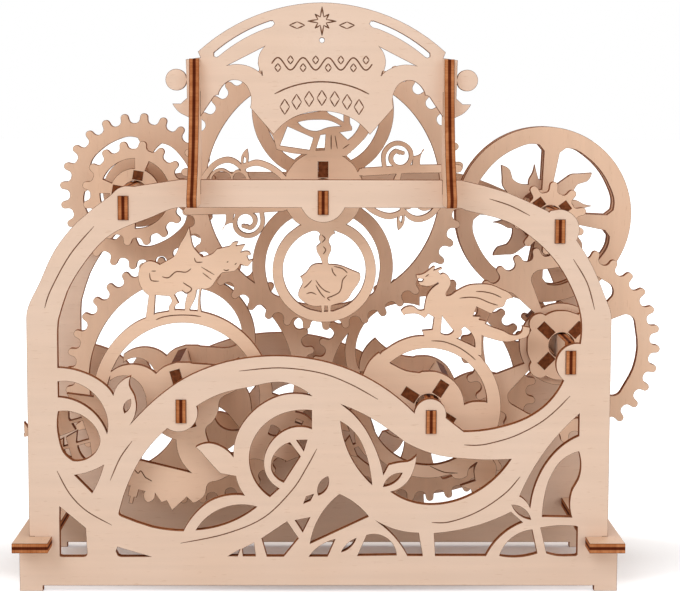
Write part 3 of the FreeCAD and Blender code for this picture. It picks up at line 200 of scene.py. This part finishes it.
# The three plies of a cut edge, by the share of the way through the sheet
PLY_LAYERS = [
    (0.0, EDGE_CORE),
    (0.08, EDGE_OUTER),
    (0.30, EDGE_OUTER),
    (0.38, EDGE_CORE),
    (0.62, EDGE_CORE),
    (0.70, EDGE_OUTER),
    (0.92, EDGE_OUTER),
    (1.0, EDGE_CORE),
]


def burnt_edge(name, across):
    """Laser-cut edge with its plies and fine cut marks; across is the axis through the sheet."""
    material, nodes, links, shader = new_material(name, SOOT_FINISH)
    coordinates = nodes.new("ShaderNodeTexCoord")
    place = coordinates.outputs["Object"]
    parts = nodes.new("ShaderNodeSeparateXYZ")
    links.new(coordinates.outputs["Generated"], parts.inputs["Vector"])
    layers = ramp(nodes, links, parts.outputs[across], PLY_LAYERS)
    scale = [MARKS_ALONG_CUT] * 3
    scale[across] = MARKS_THROUGH_SHEET
    marks = noise(nodes, links, stretched(nodes, links, place, scale), 1.0, BURN_DETAIL)
    soot = noise(nodes, links, place, STAIN_SCALE, BURN_DETAIL)
    mark = ramp(nodes, links, marks, MARK_STOPS)
    stain = ramp(nodes, links, soot, STAIN_STOPS)
    burnt = multiplied(nodes, links, multiplied(nodes, links, layers, stain), mark)
    links.new(burnt, shader.inputs["Base Color"])
    return material


def plain_burn(name, colour):
    """Charred surface without ply lines, for bar ends, rims and engraving."""
    material, nodes, links, shader = new_material(name, SOOT_FINISH)
    place = nodes.new("ShaderNodeTexCoord").outputs["Object"]
    soot = noise(nodes, links, place, SOOT_SCALE, BURN_DETAIL)
    links.new(ramp(nodes, links, soot, shades(colour, SOOT_STOPS)), shader.inputs["Base Color"])
    return material


# Each kind of plate has its tone, its grain's axis and its own place in the noise; the bracket, wheel
# and gear tones are painted lighter as painted light, for the light they lack between the frames
FACES = {
    "frame": ply_face("ply_frame", PALE_PLY, ALONG_X, (0.0, 0.0, 0.0)),
    "sign": ply_face("ply_sign", shade(PALE_PLY, 1.01), ALONG_X, (3.1, 0.0, 1.7)),
    "bracket": ply_face("ply_bracket", shade(PAINTED_WARM_SHADE_PLY, 1.13), ALONG_Z, (0.0, 2.3, 0.4)),
    "wheel": ply_face("ply_wheel", shade(PAINTED_WARM_SHADE_PLY, 1.07), ALONG_X, (5.2, 0.0, 4.1)),
    "gear": ply_face("ply_gear", shade(PAINTED_WARM_SHADE_PLY, 1.06), ALONG_Z, (1.9, 0.0, 6.3)),
    "long": ply_face("ply_long", PAINTED_WARM_SHADE_PLY, ALONG_Y, (0.0, 0.0, 2.2)),
}
EDGES = [burnt_edge("burnt_edge_" + axis, index) for index, axis in enumerate("xyz")]
RIM = plain_burn("burnt_rim", CHAR)
BAR_EDGE = plain_burn("burnt_bar", BAR_CHAR)
LINE = plain_burn("engraved_line", ENGRAVED)


def face_kind(node):
    if node.startswith("axle") or node.endswith("bars") or node.startswith("base_plank"):
        return "long"
    for kind in ("sign", "bracket", "frame"):
        if kind in node:
            return kind
    return "wheel" if node.endswith("front") else "gear"


def sheet_axis(node):
    """Index of the axis through the sheet that a flat node is cut from."""
    low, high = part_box(node)
    size = high - low
    return min(range(3), key=lambda index: size[index])


def plane_axes(axis):
    """The two axes in the plane of a sheet."""
    return [index for index in range(3) if index != axis]


# Tie bars and distance bars keep their solids; a side faces a way from this cosine on
FACING = 0.7
END_FACING = 0.5


def paint(item, burnt, is_pale):
    """Pale ply where is_pale says so of a face, and a burnt material on the rest."""
    item.data.materials.clear()
    item.data.materials.append(FACES["long"])
    item.data.materials.append(burnt)
    for polygon in item.data.polygons:
        polygon.material_index = 0 if is_pale(polygon) else 1


def paint_axle(item, axis):
    """The broad sides of a flat tie bar stay pale."""
    paint(item, EDGES[axis], lambda polygon: abs(polygon.normal[axis]) > FACING)


def paint_bars(item, centre):
    """The broad sides of distance bars stay pale; their ends and their edges toward the axle don't."""

    def is_broad(polygon):
        outward = Vector((polygon.center.x - centre.x, 0.0, polygon.center.z - centre.z)).normalized()
        is_end = abs(polygon.normal.y) >= END_FACING
        is_edge = abs(polygon.normal.dot(outward)) >= FACING
        return not is_end and not is_edge

    paint(item, BAR_EDGE, is_broad)


# Outlines of the plates, in millimetres in the plane of the sheet
LOW_FACING = -0.9
KEY_DIGITS = 3

# A side that is this long, and this many times its neighbour, stays straight
LONG_SIDE = 2.0
LONG_SHARE = 3

# Other sides become curves in steps of a fine turn
FINE_TURN = math.radians(3.5)
MOST_STEPS = 8


def cap_outlines(item, axis):
    """Closed outlines of a plate's low face, with the wood on the left of each."""
    vertices = item.data.vertices
    edges = set()
    places = {}
    for polygon in item.data.polygons:
        if polygon.normal[axis] > LOW_FACING:
            continue
        corners = []
        for index in polygon.vertices:
            spot = tuple(vertices[index].co[k] / MM for k in plane_axes(axis))
            key = tuple(round(value, KEY_DIGITS) for value in spot)
            places[key] = Vector(spot)
            corners.append(key)
        edges.update(zip(corners, corners[1:] + corners[:1]))
    rows = [[places[key] for key in row] for row in chained(edges)]
    if signed_area(max(rows, key=lambda row: abs(signed_area(row)))) < 0:
        rows = [row[::-1] for row in rows]
    return rows


def chained(edges):
    """Closed rows of the points along those edges that one face alone has."""
    following = {start: end for start, end in edges if (end, start) not in edges}
    rows = []
    while following:
        start, here = following.popitem()
        row = [start]
        while here != start:
            row.append(here)
            here = following.pop(here)
        rows.append(row)
    return rows


def signed_area(row):
    return sum(a.x * b.y - b.x * a.y for a, b in zip(row, row[1:] + row[:1])) / 2


def turn_at(before, here, after):
    return abs((here - before).angle_signed(after - here, 0.0))


def flow(before, here, after):
    """Direction of a smooth curve at a point; a long straight side keeps its own direction."""
    into, out = here - before, after - here
    if into.length > max(LONG_SHARE * out.length, LONG_SIDE):
        return into.normalized()
    if out.length > max(LONG_SHARE * into.length, LONG_SIDE):
        return out.normalized()
    return (into.normalized() * out.length + out.normalized() * into.length).normalized()


def mirrored_flow(direction, side):
    """The direction at the other end of a side that makes an even arc with this one."""
    along = side.normalized()
    return along * (2 * direction.dot(along)) - direction


def smooth_outline(row, sharp):
    """The outline with each run of shallow corners drawn as a smooth curve."""
    count = len(row)
    corner = [turn_at(row[k - 1], row[k], row[(k + 1) % count]) > sharp for k in range(count)]
    flows = [flow(row[k - 1], row[k], row[(k + 1) % count]) for k in range(count)]
    points = []
    for k in range(count):
        after = (k + 1) % count
        side = row[after] - row[k]
        points.append(row[k])
        if corner[k] and corner[after]:
            continue
        start = mirrored_flow(flows[after], side) if corner[k] else flows[k]
        end = mirrored_flow(flows[k], side) if corner[after] else flows[after]
        steps = min(MOST_STEPS, math.ceil(abs(start.angle_signed(end, 0.0)) / FINE_TURN))
        leaving, arriving = start * side.length, end * side.length
        for step in range(1, steps):
            points.append(hermite(row[k], row[after], leaving, arriving, step / steps))
    return points


def hermite(start, end, leaving, arriving, share):
    """Point at a share of the way along the cubic curve with these ends and end directions."""
    squared, cubed = share ** 2, share ** 3
    return (
        start * (2 * cubed - 3 * squared + 1)
        + leaving * (cubed - 2 * squared + share)
        + end * (3 * squared - 2 * cubed)
        + arriving * (cubed - squared)
    )


# Teeth as round-topped pegs with round gaps between them
TOOTH_WIDE = 2.6
TOOTH_TIP_WIDE = 2.5
ARC_STEPS = 6


def tooth_profile(root, tip, half_pitch):
    """A tooth from the middle of one gap almost to the middle of the next, as (across, out) points."""
    half, tip_half = TOOTH_WIDE / 2, TOOTH_TIP_WIDE / 2
    gap_half = root * math.sin(half_pitch) - half
    floor_out = root * math.cos(half_pitch)
    quarter = [math.pi / 2 * step / ARC_STEPS for step in range(ARC_STEPS + 1)]
    right = [
        (half + gap_half * (1 - math.sin(angle)), floor_out + gap_half * (1 - math.cos(angle)))
        for angle in quarter
    ]
    right += [(tip_half * math.cos(angle), tip - tip_half * (1 - math.sin(angle))) for angle in quarter]
    return right + [(-across, out) for across, out in right[-2:0:-1]]


def toothed_outline(row, centre):
    """The outer outline of a gear with its plain teeth redrawn round."""
    radii = [(point - centre).length for point in row]
    root, tip = min(radii), max(radii)
    angles = [math.atan2(point.y - centre.y, point.x - centre.x) for point in row]
    middle = (root + tip) / 2
    tips = [k for k in range(len(row)) if radii[k] > middle and radii[k - 1] < middle]
    tooth = tooth_profile(root, tip, math.pi / len(tips))
    points = []
    for k in tips:
        after = (k + 1) % len(row)
        mean = angles[k] + math.remainder(angles[after] - angles[k], math.tau) / 2
        outward = Vector((math.cos(mean), math.sin(mean)))
        sideways = Vector((math.sin(mean), -math.cos(mean)))
        points += [centre + outward * out + sideways * across for across, out in tooth]
    return points


# This keeps the point of a sharp corner from moving too far when its outline is moved
LEAST_LEAN = 0.4


def inset(row, distance):
    """The outline moved into the wood by a small distance."""
    points = []
    for k, here in enumerate(row):
        into = (here - row[k - 1]).normalized()
        out = (row[(k + 1) % len(row)] - here).normalized()
        middle = Vector((-into.y - out.y, into.x + out.x)).normalized()
        lean = max(LEAST_LEAN, middle.dot(Vector((-into.y, into.x))))
        points.append(here + middle * (distance / lean))
    return points


# Plates with smooth outlines, a fine burnt rim in millimetres and flat caps
CHAMFER = 0.11
CAP_SLOT, RIM_SLOT, EDGE_SLOT = range(3)
SHADE_SHARP = math.radians(32)
KEEP_INSIDE = 1
WELD = 1e-5


def cap_faces(rows):
    """Triangles of the wood between the outlines, by point number, and any points added to draw them."""
    points, edges = [], []
    for row in rows:
        first = len(points)
        points += row
        edges += [(first + k, first + (k + 1) % len(row)) for k in range(len(row))]
    found, lines, faces, point_source, line_source, _ = delaunay_2d_cdt(
        points, edges, [], KEEP_INSIDE, WELD
    )
    cuts = {frozenset(line) for line, source in zip(lines, line_source) if source}
    number, extra = [], []
    for place, source in zip(found, point_source):
        number.append(source[0] if source else len(points) + len(extra))
        if not source:
            extra.append(place)
    return [[number[k] for k in face] for face in wood_faces(faces, cuts)], extra


def wood_faces(faces, cuts):
    """The faces inside the outer outline and outside its holes; each cut passed changes wood to air."""
    owners = {}
    for number, face in enumerate(faces):
        for pair in zip(face, face[1:] + face[:1]):
            owners.setdefault(frozenset(pair), []).append(number)
    wood = {numbers[0]: True for numbers in owners.values() if len(numbers) == 1}
    waiting = list(wood)
    while waiting:
        here = waiting.pop()
        face = faces[here]
        for pair in map(frozenset, zip(face, face[1:] + face[:1])):
            for beside in owners[pair]:
                if beside not in wood:
                    wood[beside] = wood[here] != (pair in cuts)
                    waiting.append(beside)
    return [face for number, face in enumerate(faces) if wood[number]]


def in_sheet(point, axis, depth):
    """Place in metres of a point of an outline, at a depth along the axis through the sheet."""
    spot = Vector((0.0, 0.0, 0.0))
    spot[axis] = depth
    for index, value in zip(plane_axes(axis), point):
        spot[index] = value * MM
    return spot


def side_faces(rows):
    """Faces between the four levels of the outlines, and the material slot of each."""
    total = sum(len(row) for row in rows)
    faces, slots, first = [], [], 0
    for row in rows:
        for k in range(len(row)):
            here, after = first + k, first + (k + 1) % len(row)
            for level, slot in enumerate((RIM_SLOT, EDGE_SLOT, RIM_SLOT)):
                low, high = level * total, (level + 1) * total
                faces.append((low + here, low + after, high + after, high + here))
                slots.append(slot)
        first += len(row)
    return faces, slots


def sheet_piece(name, rows, axis, low, high):
    """Ply piece between two faces of a sheet, whose depths are in metres."""
    rim = [inset(row, CHAMFER) for row in rows]
    levels = [(low, rim), (low + CHAMFER * MM, rows), (high - CHAMFER * MM, rows), (high, rim)]
    vertices = [
        in_sheet(point, axis, depth) for depth, outlines in levels for row in outlines for point in row
    ]
    total = len(vertices) // len(levels)
    faces, slots = side_faces(rows)
    triangles, extra = cap_faces(rim)
    for base, depth in ((0, low), (len(vertices) - total, high)):
        spare = len(vertices)
        vertices += [in_sheet(point, axis, depth) for point in extra]
        for triangle in triangles:
            faces.append([base + k if k < total else spare + k - total for k in triangle])
            slots.append(CAP_SLOT)
    mesh = closed_mesh(name, vertices, faces)
    mesh.polygons.foreach_set("material_index", slots)
    mesh.shade_smooth()
    mesh.set_sharp_from_angle(angle=SHADE_SHARP)
    return add_object(name, mesh)


def closed_mesh(name, vertices, faces):
    """Mesh with its faces turned outward."""
    mesh = bpy.data.meshes.new(name)
    mesh.from_pydata(vertices, [], faces)
    work = bmesh.new()
    work.from_mesh(mesh)
    bmesh.ops.recalc_face_normals(work, faces=work.faces)
    work.to_mesh(mesh)
    work.free()
    return mesh


def add_object(name, data):
    item = bpy.data.objects.new(name, data)
    bpy.context.scene.collection.objects.link(item)
    return item


# Corners that turn more than this stay sharp
FIGURE_SHARP = math.radians(56)
PLAIN_SHARP = math.radians(38)

# The sign's pivot hole, in millimetres
PIVOT_HOLE_R = 0.75
PIVOT_HOLE_Z = 167.4
CIRCLE_STEPS = 28


def circle(centre, radius):
    """Clockwise circle, so that the wood lies outside it."""
    return [
        centre + Vector((radius * math.cos(angle), -radius * math.sin(angle)))
        for angle in (math.tau * k / CIRCLE_STEPS for k in range(CIRCLE_STEPS))
    ]


def smooth_plate(node, rows):
    """The outlines of a flat node drawn smooth, with round teeth on a gear and the sign's pivot hole."""
    outer = max(rows, key=lambda row: abs(signed_area(row)))
    sharp = FIGURE_SHARP if node.endswith(("wheel_front", "sun")) else PLAIN_SHARP
    toothed = "gear" in node or "pinion" in node
    smooth_rows = []
    for row in rows:
        if row is outer and toothed:
            centre = TURNING[BODY_OF[node]] / MM
            smooth_rows.append(toothed_outline(row, Vector((centre.x, centre.z))))
        else:
            smooth_rows.append(smooth_outline(row, sharp))
    if node == "theater_sign":
        low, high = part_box(node)
        smooth_rows.append(circle(Vector(((low.x + high.x) / 2 / MM, PIVOT_HOLE_Z)), PIVOT_HOLE_R))
    return smooth_rows


def keep_in_box(rows, axis, low, high):
    """Smooth curves bulge a little past their chords, and no point may leave the node's box."""
    for k, index in enumerate(plane_axes(axis)):
        for row in rows:
            for point in row:
                point[k] = min(max(point[k], low[index] / MM), high[index] / MM)


def dress_plate(node, item):
    """Stand in for a flat node with the same plate, smoothly drawn."""
    axis = sheet_axis(node)
    low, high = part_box(node)
    rows = smooth_plate(node, cap_outlines(item, axis))
    keep_in_box(rows, axis, low, high)
    piece = sheet_piece(node + "_ply", rows, axis, low[axis], high[axis])
    for material in (FACES[face_kind(node)], RIM, EDGES[axis]):
        piece.data.materials.append(material)
    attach(piece, BODY_OF[node])
    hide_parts(node)


for node, item in frame["nodes"].items():
    if node.endswith("bars"):
        paint_bars(item, TURNING[BODY_OF[node]])
    elif node.startswith("axle"):
        paint_axle(item, sheet_axis(node))
    else:
        dress_plate(node, item)


# Engraved lines in millimetres in the plane of a plate, with a share of their width at their ends
PROUD = 0.02
SUNK = 0.15
LINE_WIDE = 0.34
SIGN_LINE_WIDE = 0.42
END_SHARE = 0.4
TAPER_STEPS = 5
SPAN_STEPS = 6


def smooth_line(points):
    """Points along a smooth line through the given ones."""
    row = [Vector(point) for point in points]
    drawn = []
    for k in range(len(row) - 1):
        before, after = row[max(k - 1, 0)], row[min(k + 2, len(row) - 1)]
        leaving, arriving = (row[k + 1] - before) / 2, (after - row[k]) / 2
        for step in range(SPAN_STEPS):
            drawn.append(hermite(row[k], row[k + 1], leaving, arriving, step / SPAN_STEPS))
    return drawn + [row[-1]]


def burnt_line(row, origin, width):
    """Vertices and faces of one thin closed strip set into a plate's front, with tapered ends."""
    vertices, faces = [], []
    last = len(row) - 1
    for k, here in enumerate(row):
        along = (row[min(k + 1, last)] - row[max(k - 1, 0)]).normalized()
        half = width / 2 * min(1.0, END_SHARE + min(k, last - k) / TAPER_STEPS)
        aside = Vector((-along.y, along.x)) * half
        left, right = here + aside, here - aside
        for spot, depth in ((left, -PROUD), (right, -PROUD), (right, SUNK), (left, SUNK)):
            vertices.append(origin + Vector((spot.x, depth, spot.y)) * MM)
    for k in range(last):
        for side in range(4):
            beside = (side + 1) % 4
            faces.append((4 * k + side, 4 * k + 4 + side, 4 * k + 4 + beside, 4 * k + beside))
    return vertices, faces + [(0, 1, 2, 3), (4 * last + 3, 4 * last + 2, 4 * last + 1, 4 * last)]


def engrave(name, node, lines, width=LINE_WIDE):
    """Thin burnt lines on a plate's front; each line is a list of (x, z) points."""
    body = BODY_OF[node]
    origin = plate_origin(body, node)
    vertices, faces = [], []
    for points in lines:
        strip, sides = burnt_line(smooth_line(points), origin, width)
        faces += [[len(vertices) + k for k in side] for side in sides]
        vertices += strip
    mesh = closed_mesh(name, vertices, faces)
    mesh.materials.append(LINE)
    piece = add_object(name, mesh)
    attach(piece, body)


def plate_origin(body, node):
    """Origin for lines on a plate: its axle for a wheel, else the foot of the frame's middle line."""
    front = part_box(node)[0].y
    if body in TURNING:
        return Vector((TURNING[body].x, front, TURNING[body].z))
    return Vector((MIDDLE_X, front, 0.0))


# Lines of the screen from the frame's middle, and of each wheel from its axle
SCREEN_LINES = [
    [(-67.7, 111.8), (-75.0, 103.2), (-80.9, 92.6), (-82.8, 87.1)],
    [(51.0, 120.3), (57.2, 118.3), (63.2, 115.3)],
    [(76.5, 102.2), (80.8, 95.0), (83.2, 86.9)],
    [(-79.7, 37.3), (-75.9, 30.2), (-70.8, 24.9), (-63.2, 20.5)],
    [(-56.8, 46.5), (-60.5, 41.3), (-63.6, 34.3)],
    [(-24.3, 68.0), (-11.9, 69.0), (0.2, 67.5), (9.3, 64.1), (17.8, 59.4)],
    [(20.0, 49.7), (21.8, 48.5), (24.3, 47.5)],
    [(-0.7, 44.2), (-3.7, 38.6), (-8.3, 31.3), (-17.0, 22.8), (-28.7, 17.8), (-42.3, 14.9)],
    [(44.1, 45.4), (48.0, 45.3), (52.0, 45.9), (59.1, 48.0), (66.2, 51.6), (71.2, 55.4), (76.2, 60.5)],
    [(34.4, 21.4), (39.0, 21.4), (45.1, 23.2), (51.2, 26.3), (57.3, 30.9), (61.3, 35.6)],
]
RIDER_LINES = [
    [(-6.2, 37.8), (-4.2, 37.5), (-1.9, 39.3), (1.1, 39.2), (2.7, 40.3)],
    [(-10.0, 38.9), (-9.5, 36.7), (-7.1, 36.4)],
    [(-9.4, 39.5), (-8.0, 39.5)],
    [(0.2, 36.0), (1.4, 35.2), (2.7, 34.3), (2.5, 33.4), (1.1, 32.7), (-0.1, 33.7)],
    [(-8.2, 24.5), (-6.2, 25.3), (-3.6, 25.8), (-0.5, 26.0), (3.0, 25.9), (5.7, 25.5)],
    [(5.8, 40.8), (9.8, 38.4)],
    [(6.2, 39.0), (8.9, 36.9)],
    [(3.7, 43.6), (4.3, 42.3), (6.2, 42.3)],
    [(12.6, 40.0), (13.4, 39.7), (14.3, 40.0)],
    [(13.6, 42.2), (14.1, 42.5)],
    [(16.0, 41.5), (16.6, 42.0)],
    [(17.7, 41.7), (18.8, 41.2)],
    [(-15.2, -21.9), (-14.0, -23.2), (-13.1, -22.5), (-11.8, -24.4), (-10.9, -25.0), (-9.7, -25.7)],
]
DRAGON_LINES = [
    [(14.4, 36.1), (16.8, 36.0), (19.6, 35.4), (22.3, 34.2)],
    [(9.3, 34.0), (12.7, 34.3), (15.5, 33.9), (18.6, 32.6), (21.2, 31.8)],
    [(0.7, 20.7), (4.2, 20.5), (7.4, 19.5), (10.0, 18.2), (12.7, 16.3), (14.5, 14.7)],
    [(0.6, -18.7), (5.0, -20.6), (9.3, -20.9)],
    [(-1.3, 40.6), (-0.2, 41.4)],
]
FIGURE_LINES = [
    [(2.8, -23.6), (3.2, -25.1), (4.2, -26.3)],
    [(3.4, -23.2), (6.1, -23.9), (7.7, -25.3)],
    [(7.5, -25.9), (6.2, -27.5), (5.8, -29.8), (5.0, -31.4), (3.0, -32.5), (1.5, -33.1), (2.3, -33.9)],
    [(-3.4, -27.5), (-4.7, -29.0), (-5.9, -30.0)],
    [(-2.2, -27.5), (-0.9, -29.4), (0.7, -30.8), (2.3, -31.4)],
    [(-2.2, -29.0), (-0.8, -31.4), (0.7, -33.1)],
    [(-5.1, -31.8), (-3.6, -31.4), (-2.0, -32.0)],
    [(-0.3, -13.4), (0.7, -14.6), (-0.3, -15.8)],
    [(0.1, -17.0), (0.9, -18.1), (0.1, -19.4)],
    [(2.5, 17.5), (2.5, 15.3), (2.5, 13.1)],
    [(3.7, 17.3), (4.4, 13.3)],
    [(6.1, 13.3), (8.1, 14.7)],
]
engrave("screen_lines", "front_frame", SCREEN_LINES)
engrave("left_wheel_lines", "left_wheel_front", RIDER_LINES)
engrave("right_wheel_lines", "right_wheel_front", DRAGON_LINES)
engrave("centre_wheel_lines", "centre_wheel_front", FIGURE_LINES)


# Plain ornament on the sign: a star, a wave and an arc, all with lozenges; angles in degrees
SIGN_X = 0.6
STAR_Z = 173.0
STAR_LONG = 4.3
STAR_SHORT = 3.0
STAR_WAIST = 1.3
STAR_SIDE_X = 7.4
STAR_SIDE_DROP = 1.2
STAR_SIDE_SIZE = (4.6, 2.0)
WAVE_Z = 160.4
WAVE_HALF = 3.75
WAVE_HIGH = 1.8
WAVE_STEPS = 8
WAVE_SIDE_HALVES = 4
HOLLOW = 1.15
HOLLOW_SIZE = (1.9, 2.5)
ARC_CENTRE_Z = 125.9
ARC_R = 29.2
ARC_END = 29
ARC_SIDE_STEPS = 4
ROW_R = 24.4
ROW_STEP = 9
ROW_SIDE_COUNT = 3
ROW_SIZE = (2.9, 4.6)
CORNER_CUTS = [[(-17.3, 158.4), (-17.2, 156.8)], [(18.4, 156.8), (18.7, 158.4)]]


def closed(corners):
    """Straight lines from corner to corner and back to the first."""
    return [[a, b] for a, b in zip(corners, corners[1:] + corners[:1])]


def star():
    """Eight rays, long and short by turns."""
    reaches = [STAR_LONG, STAR_WAIST, STAR_SHORT, STAR_WAIST] * 4
    corners = []
    for k, reach in enumerate(reaches):
        angle = math.tau * k / len(reaches)
        corners.append((SIGN_X + reach * math.sin(angle), STAR_Z + reach * math.cos(angle)))
    return closed(corners)


def lozenge(x, z, wide, tall):
    return closed([(x - wide / 2, z), (x, z + tall / 2), (x + wide / 2, z), (x, z - tall / 2)])


def wave_row():
    """One long smooth wave with a lozenge in each of its hollows."""
    reach = WAVE_SIDE_HALVES * WAVE_STEPS
    wave = []
    for step in range(-reach, reach + 1):
        share = step / WAVE_STEPS
        wave.append((SIGN_X + WAVE_HALF * share, WAVE_Z + WAVE_HIGH * math.sin(math.pi * share)))
    lines = [wave]
    for k in range(-WAVE_SIDE_HALVES, WAVE_SIDE_HALVES):
        hollow = HOLLOW if k % 2 else -HOLLOW
        lines += lozenge(SIGN_X + WAVE_HALF * (k + 0.5), WAVE_Z + hollow, *HOLLOW_SIZE)
    return lines


def arc_point(degrees, radius):
    angle = math.radians(degrees)
    return (SIGN_X + radius * math.sin(angle), ARC_CENTRE_Z + radius * math.cos(angle))


def sign_lines():
    lines = star() + wave_row() + CORNER_CUTS
    for side in (-1, 1):
        lines += lozenge(SIGN_X + side * STAR_SIDE_X, STAR_Z - STAR_SIDE_DROP, *STAR_SIDE_SIZE)
    arc = range(-ARC_SIDE_STEPS, ARC_SIDE_STEPS + 1)
    lines.append([arc_point(ARC_END * k / ARC_SIDE_STEPS, ARC_R) for k in arc])
    for k in range(-ROW_SIDE_COUNT, ROW_SIDE_COUNT + 1):
        lines += lozenge(*arc_point(ROW_STEP * k, ROW_R), *ROW_SIZE)
    return lines


engrave("sign_lines", "theater_sign", sign_lines(), SIGN_LINE_WIDE)


# Floor, light and camera
FLOOR_REACH = 6.0
AROUND_LIGHT = 0.69
AROUND_TINT = (1.0, 0.94, 0.87)
LAMP_TINT = (0.97, 1.03, 1.12)
LAMP_TARGET = Vector((0.0, 0.0, 0.09))

# Name, place, width and watts of each softbox
SOFTBOXES = [
    ("key", (-0.7, -1.3, 1.1), 1.0, 9.0),
    ("fill", (0.9, -1.2, 0.5), 1.2, 3.5),
    ("back", (0.5, 1.3, 1.0), 1.2, 7.0),
]

# The floor's glow by distance from the middle of the object, as a share of a long oval's reach; its low
# values in the oval under and around the object are a painted shadow
GLOW_REACH = (0.6, 0.2)
GLOW_MIDDLE_Y = 0.02
GLOW_AND_PAINTED_SHADOW = [
    (0.13, (0.03, 0.02, 0.02)),
    (0.17, (0.17, 0.17, 0.175)),
    (0.205, (0.24, 0.24, 0.245)),
    (0.245, (0.5, 0.5, 0.51)),
    (0.9, (0.7, 0.7, 0.7)),
]


def camera_sees(nodes, links):
    """One for rays from the camera and for reflections and see-through rays, else zero."""
    path = nodes.new("ShaderNodeLightPath")
    total = path.outputs["Is Camera Ray"]
    for kind in ("Is Glossy Ray", "Is Transmission Ray"):
        either = nodes.new("ShaderNodeMath")
        either.operation = "MAXIMUM"
        links.new(total, either.inputs[0])
        links.new(path.outputs[kind], either.inputs[1])
        total = either.outputs[0]
    return total


def floor():
    """Plain floor; its glow lights nothing, and it fades under and around the object so that the shadow
    shows, which paints a soft shadow in an oval there.
    """
    mesh = bpy.data.meshes.new("floor")
    corners = [(-1, -1), (1, -1), (1, 1), (-1, 1)]
    mesh.from_pydata([Vector((x, y, 0)) * FLOOR_REACH for x, y in corners], [], [(0, 1, 2, 3)])
    plane = add_object("floor", mesh)
    material, nodes, links, shader = new_material("floor", FLOOR_FINISH)
    shader.inputs["Base Color"].default_value = (*FLOOR_GREY, 1.0)
    place = nodes.new("ShaderNodeTexCoord").outputs["Object"]
    distance = nodes.new("ShaderNodeVectorMath")
    distance.operation = "LENGTH"
    scale = (1 / GLOW_REACH[0], 1 / GLOW_REACH[1], 1.0)
    shift = (0.0, -GLOW_MIDDLE_Y / GLOW_REACH[1], 0.0)
    links.new(stretched(nodes, links, place, scale, shift), distance.inputs[0])
    links.new(ramp(nodes, links, distance.outputs["Value"], GLOW_AND_PAINTED_SHADOW), shader.inputs["Emission Color"])
    links.new(camera_sees(nodes, links), shader.inputs["Emission Strength"])
    mesh.materials.append(material)


def world():
    """Even warm light from all round, which the camera sees as pure white."""
    background = bpy.data.worlds.new("studio")
    background.use_nodes = True
    nodes, links = background.node_tree.nodes, background.node_tree.links
    lit, white = nodes["Background"], nodes.new("ShaderNodeBackground")
    for shader, colour, strength in ((lit, AROUND_TINT, AROUND_LIGHT), (white, WHITE, 1.0)):
        shader.inputs["Color"].default_value = (*colour, 1.0)
        shader.inputs["Strength"].default_value = strength
    choice = nodes.new("ShaderNodeMixShader")
    links.new(camera_sees(nodes, links), choice.inputs[0])
    links.new(lit.outputs[0], choice.inputs[1])
    links.new(white.outputs[0], choice.inputs[2])
    links.new(choice.outputs[0], nodes["World Output"].inputs["Surface"])
    bpy.context.scene.world = background


def softbox(name, place, size, power):
    data = bpy.data.lights.new(name, "AREA")
    data.shape = "DISK"
    data.size = size
    data.energy = power
    data.color = LAMP_TINT
    light = add_object(name, data)
    light.location = place
    light.rotation_euler = (LAMP_TARGET - light.location).to_track_quat("-Z", "Y").to_euler()


# The camera stands as the photograph's does; angles are in radians
CAMERA_BEFORE_FRONT = 0.57982
CAMERA_RIGHT = -0.00106
CAMERA_HIGH = 0.1509
CAMERA_YAW = -0.0125
CAMERA_DOWN = 0.1044
CAMERA_ROLL = 0.003
FOCAL_PX = 1932.65
IMAGE_WIDE_PX = 680
SENSOR_WIDE_MM = 36.0
NEAREST = 0.05


def camera():
    data = bpy.data.cameras.new("camera")
    data.sensor_width = SENSOR_WIDE_MM
    data.lens = FOCAL_PX / IMAGE_WIDE_PX * SENSOR_WIDE_MM
    data.clip_start = NEAREST
    view = add_object("camera", data)
    view.location = (MIDDLE_X + CAMERA_RIGHT, FRONT_Y - CAMERA_BEFORE_FRONT, CAMERA_HIGH)
    yaw = Matrix.Rotation(CAMERA_YAW, 3, "Z")
    pitch = Matrix.Rotation(math.pi / 2 - CAMERA_DOWN, 3, "X")
    roll = Matrix.Rotation(CAMERA_ROLL, 3, "Z")
    view.rotation_euler = (yaw @ pitch @ roll).to_euler()
    bpy.context.scene.camera = view


floor()
world()
for lamp in SOFTBOXES:
    softbox(*lamp)
camera()
bpy.context.scene.view_settings.view_transform = "Standard"
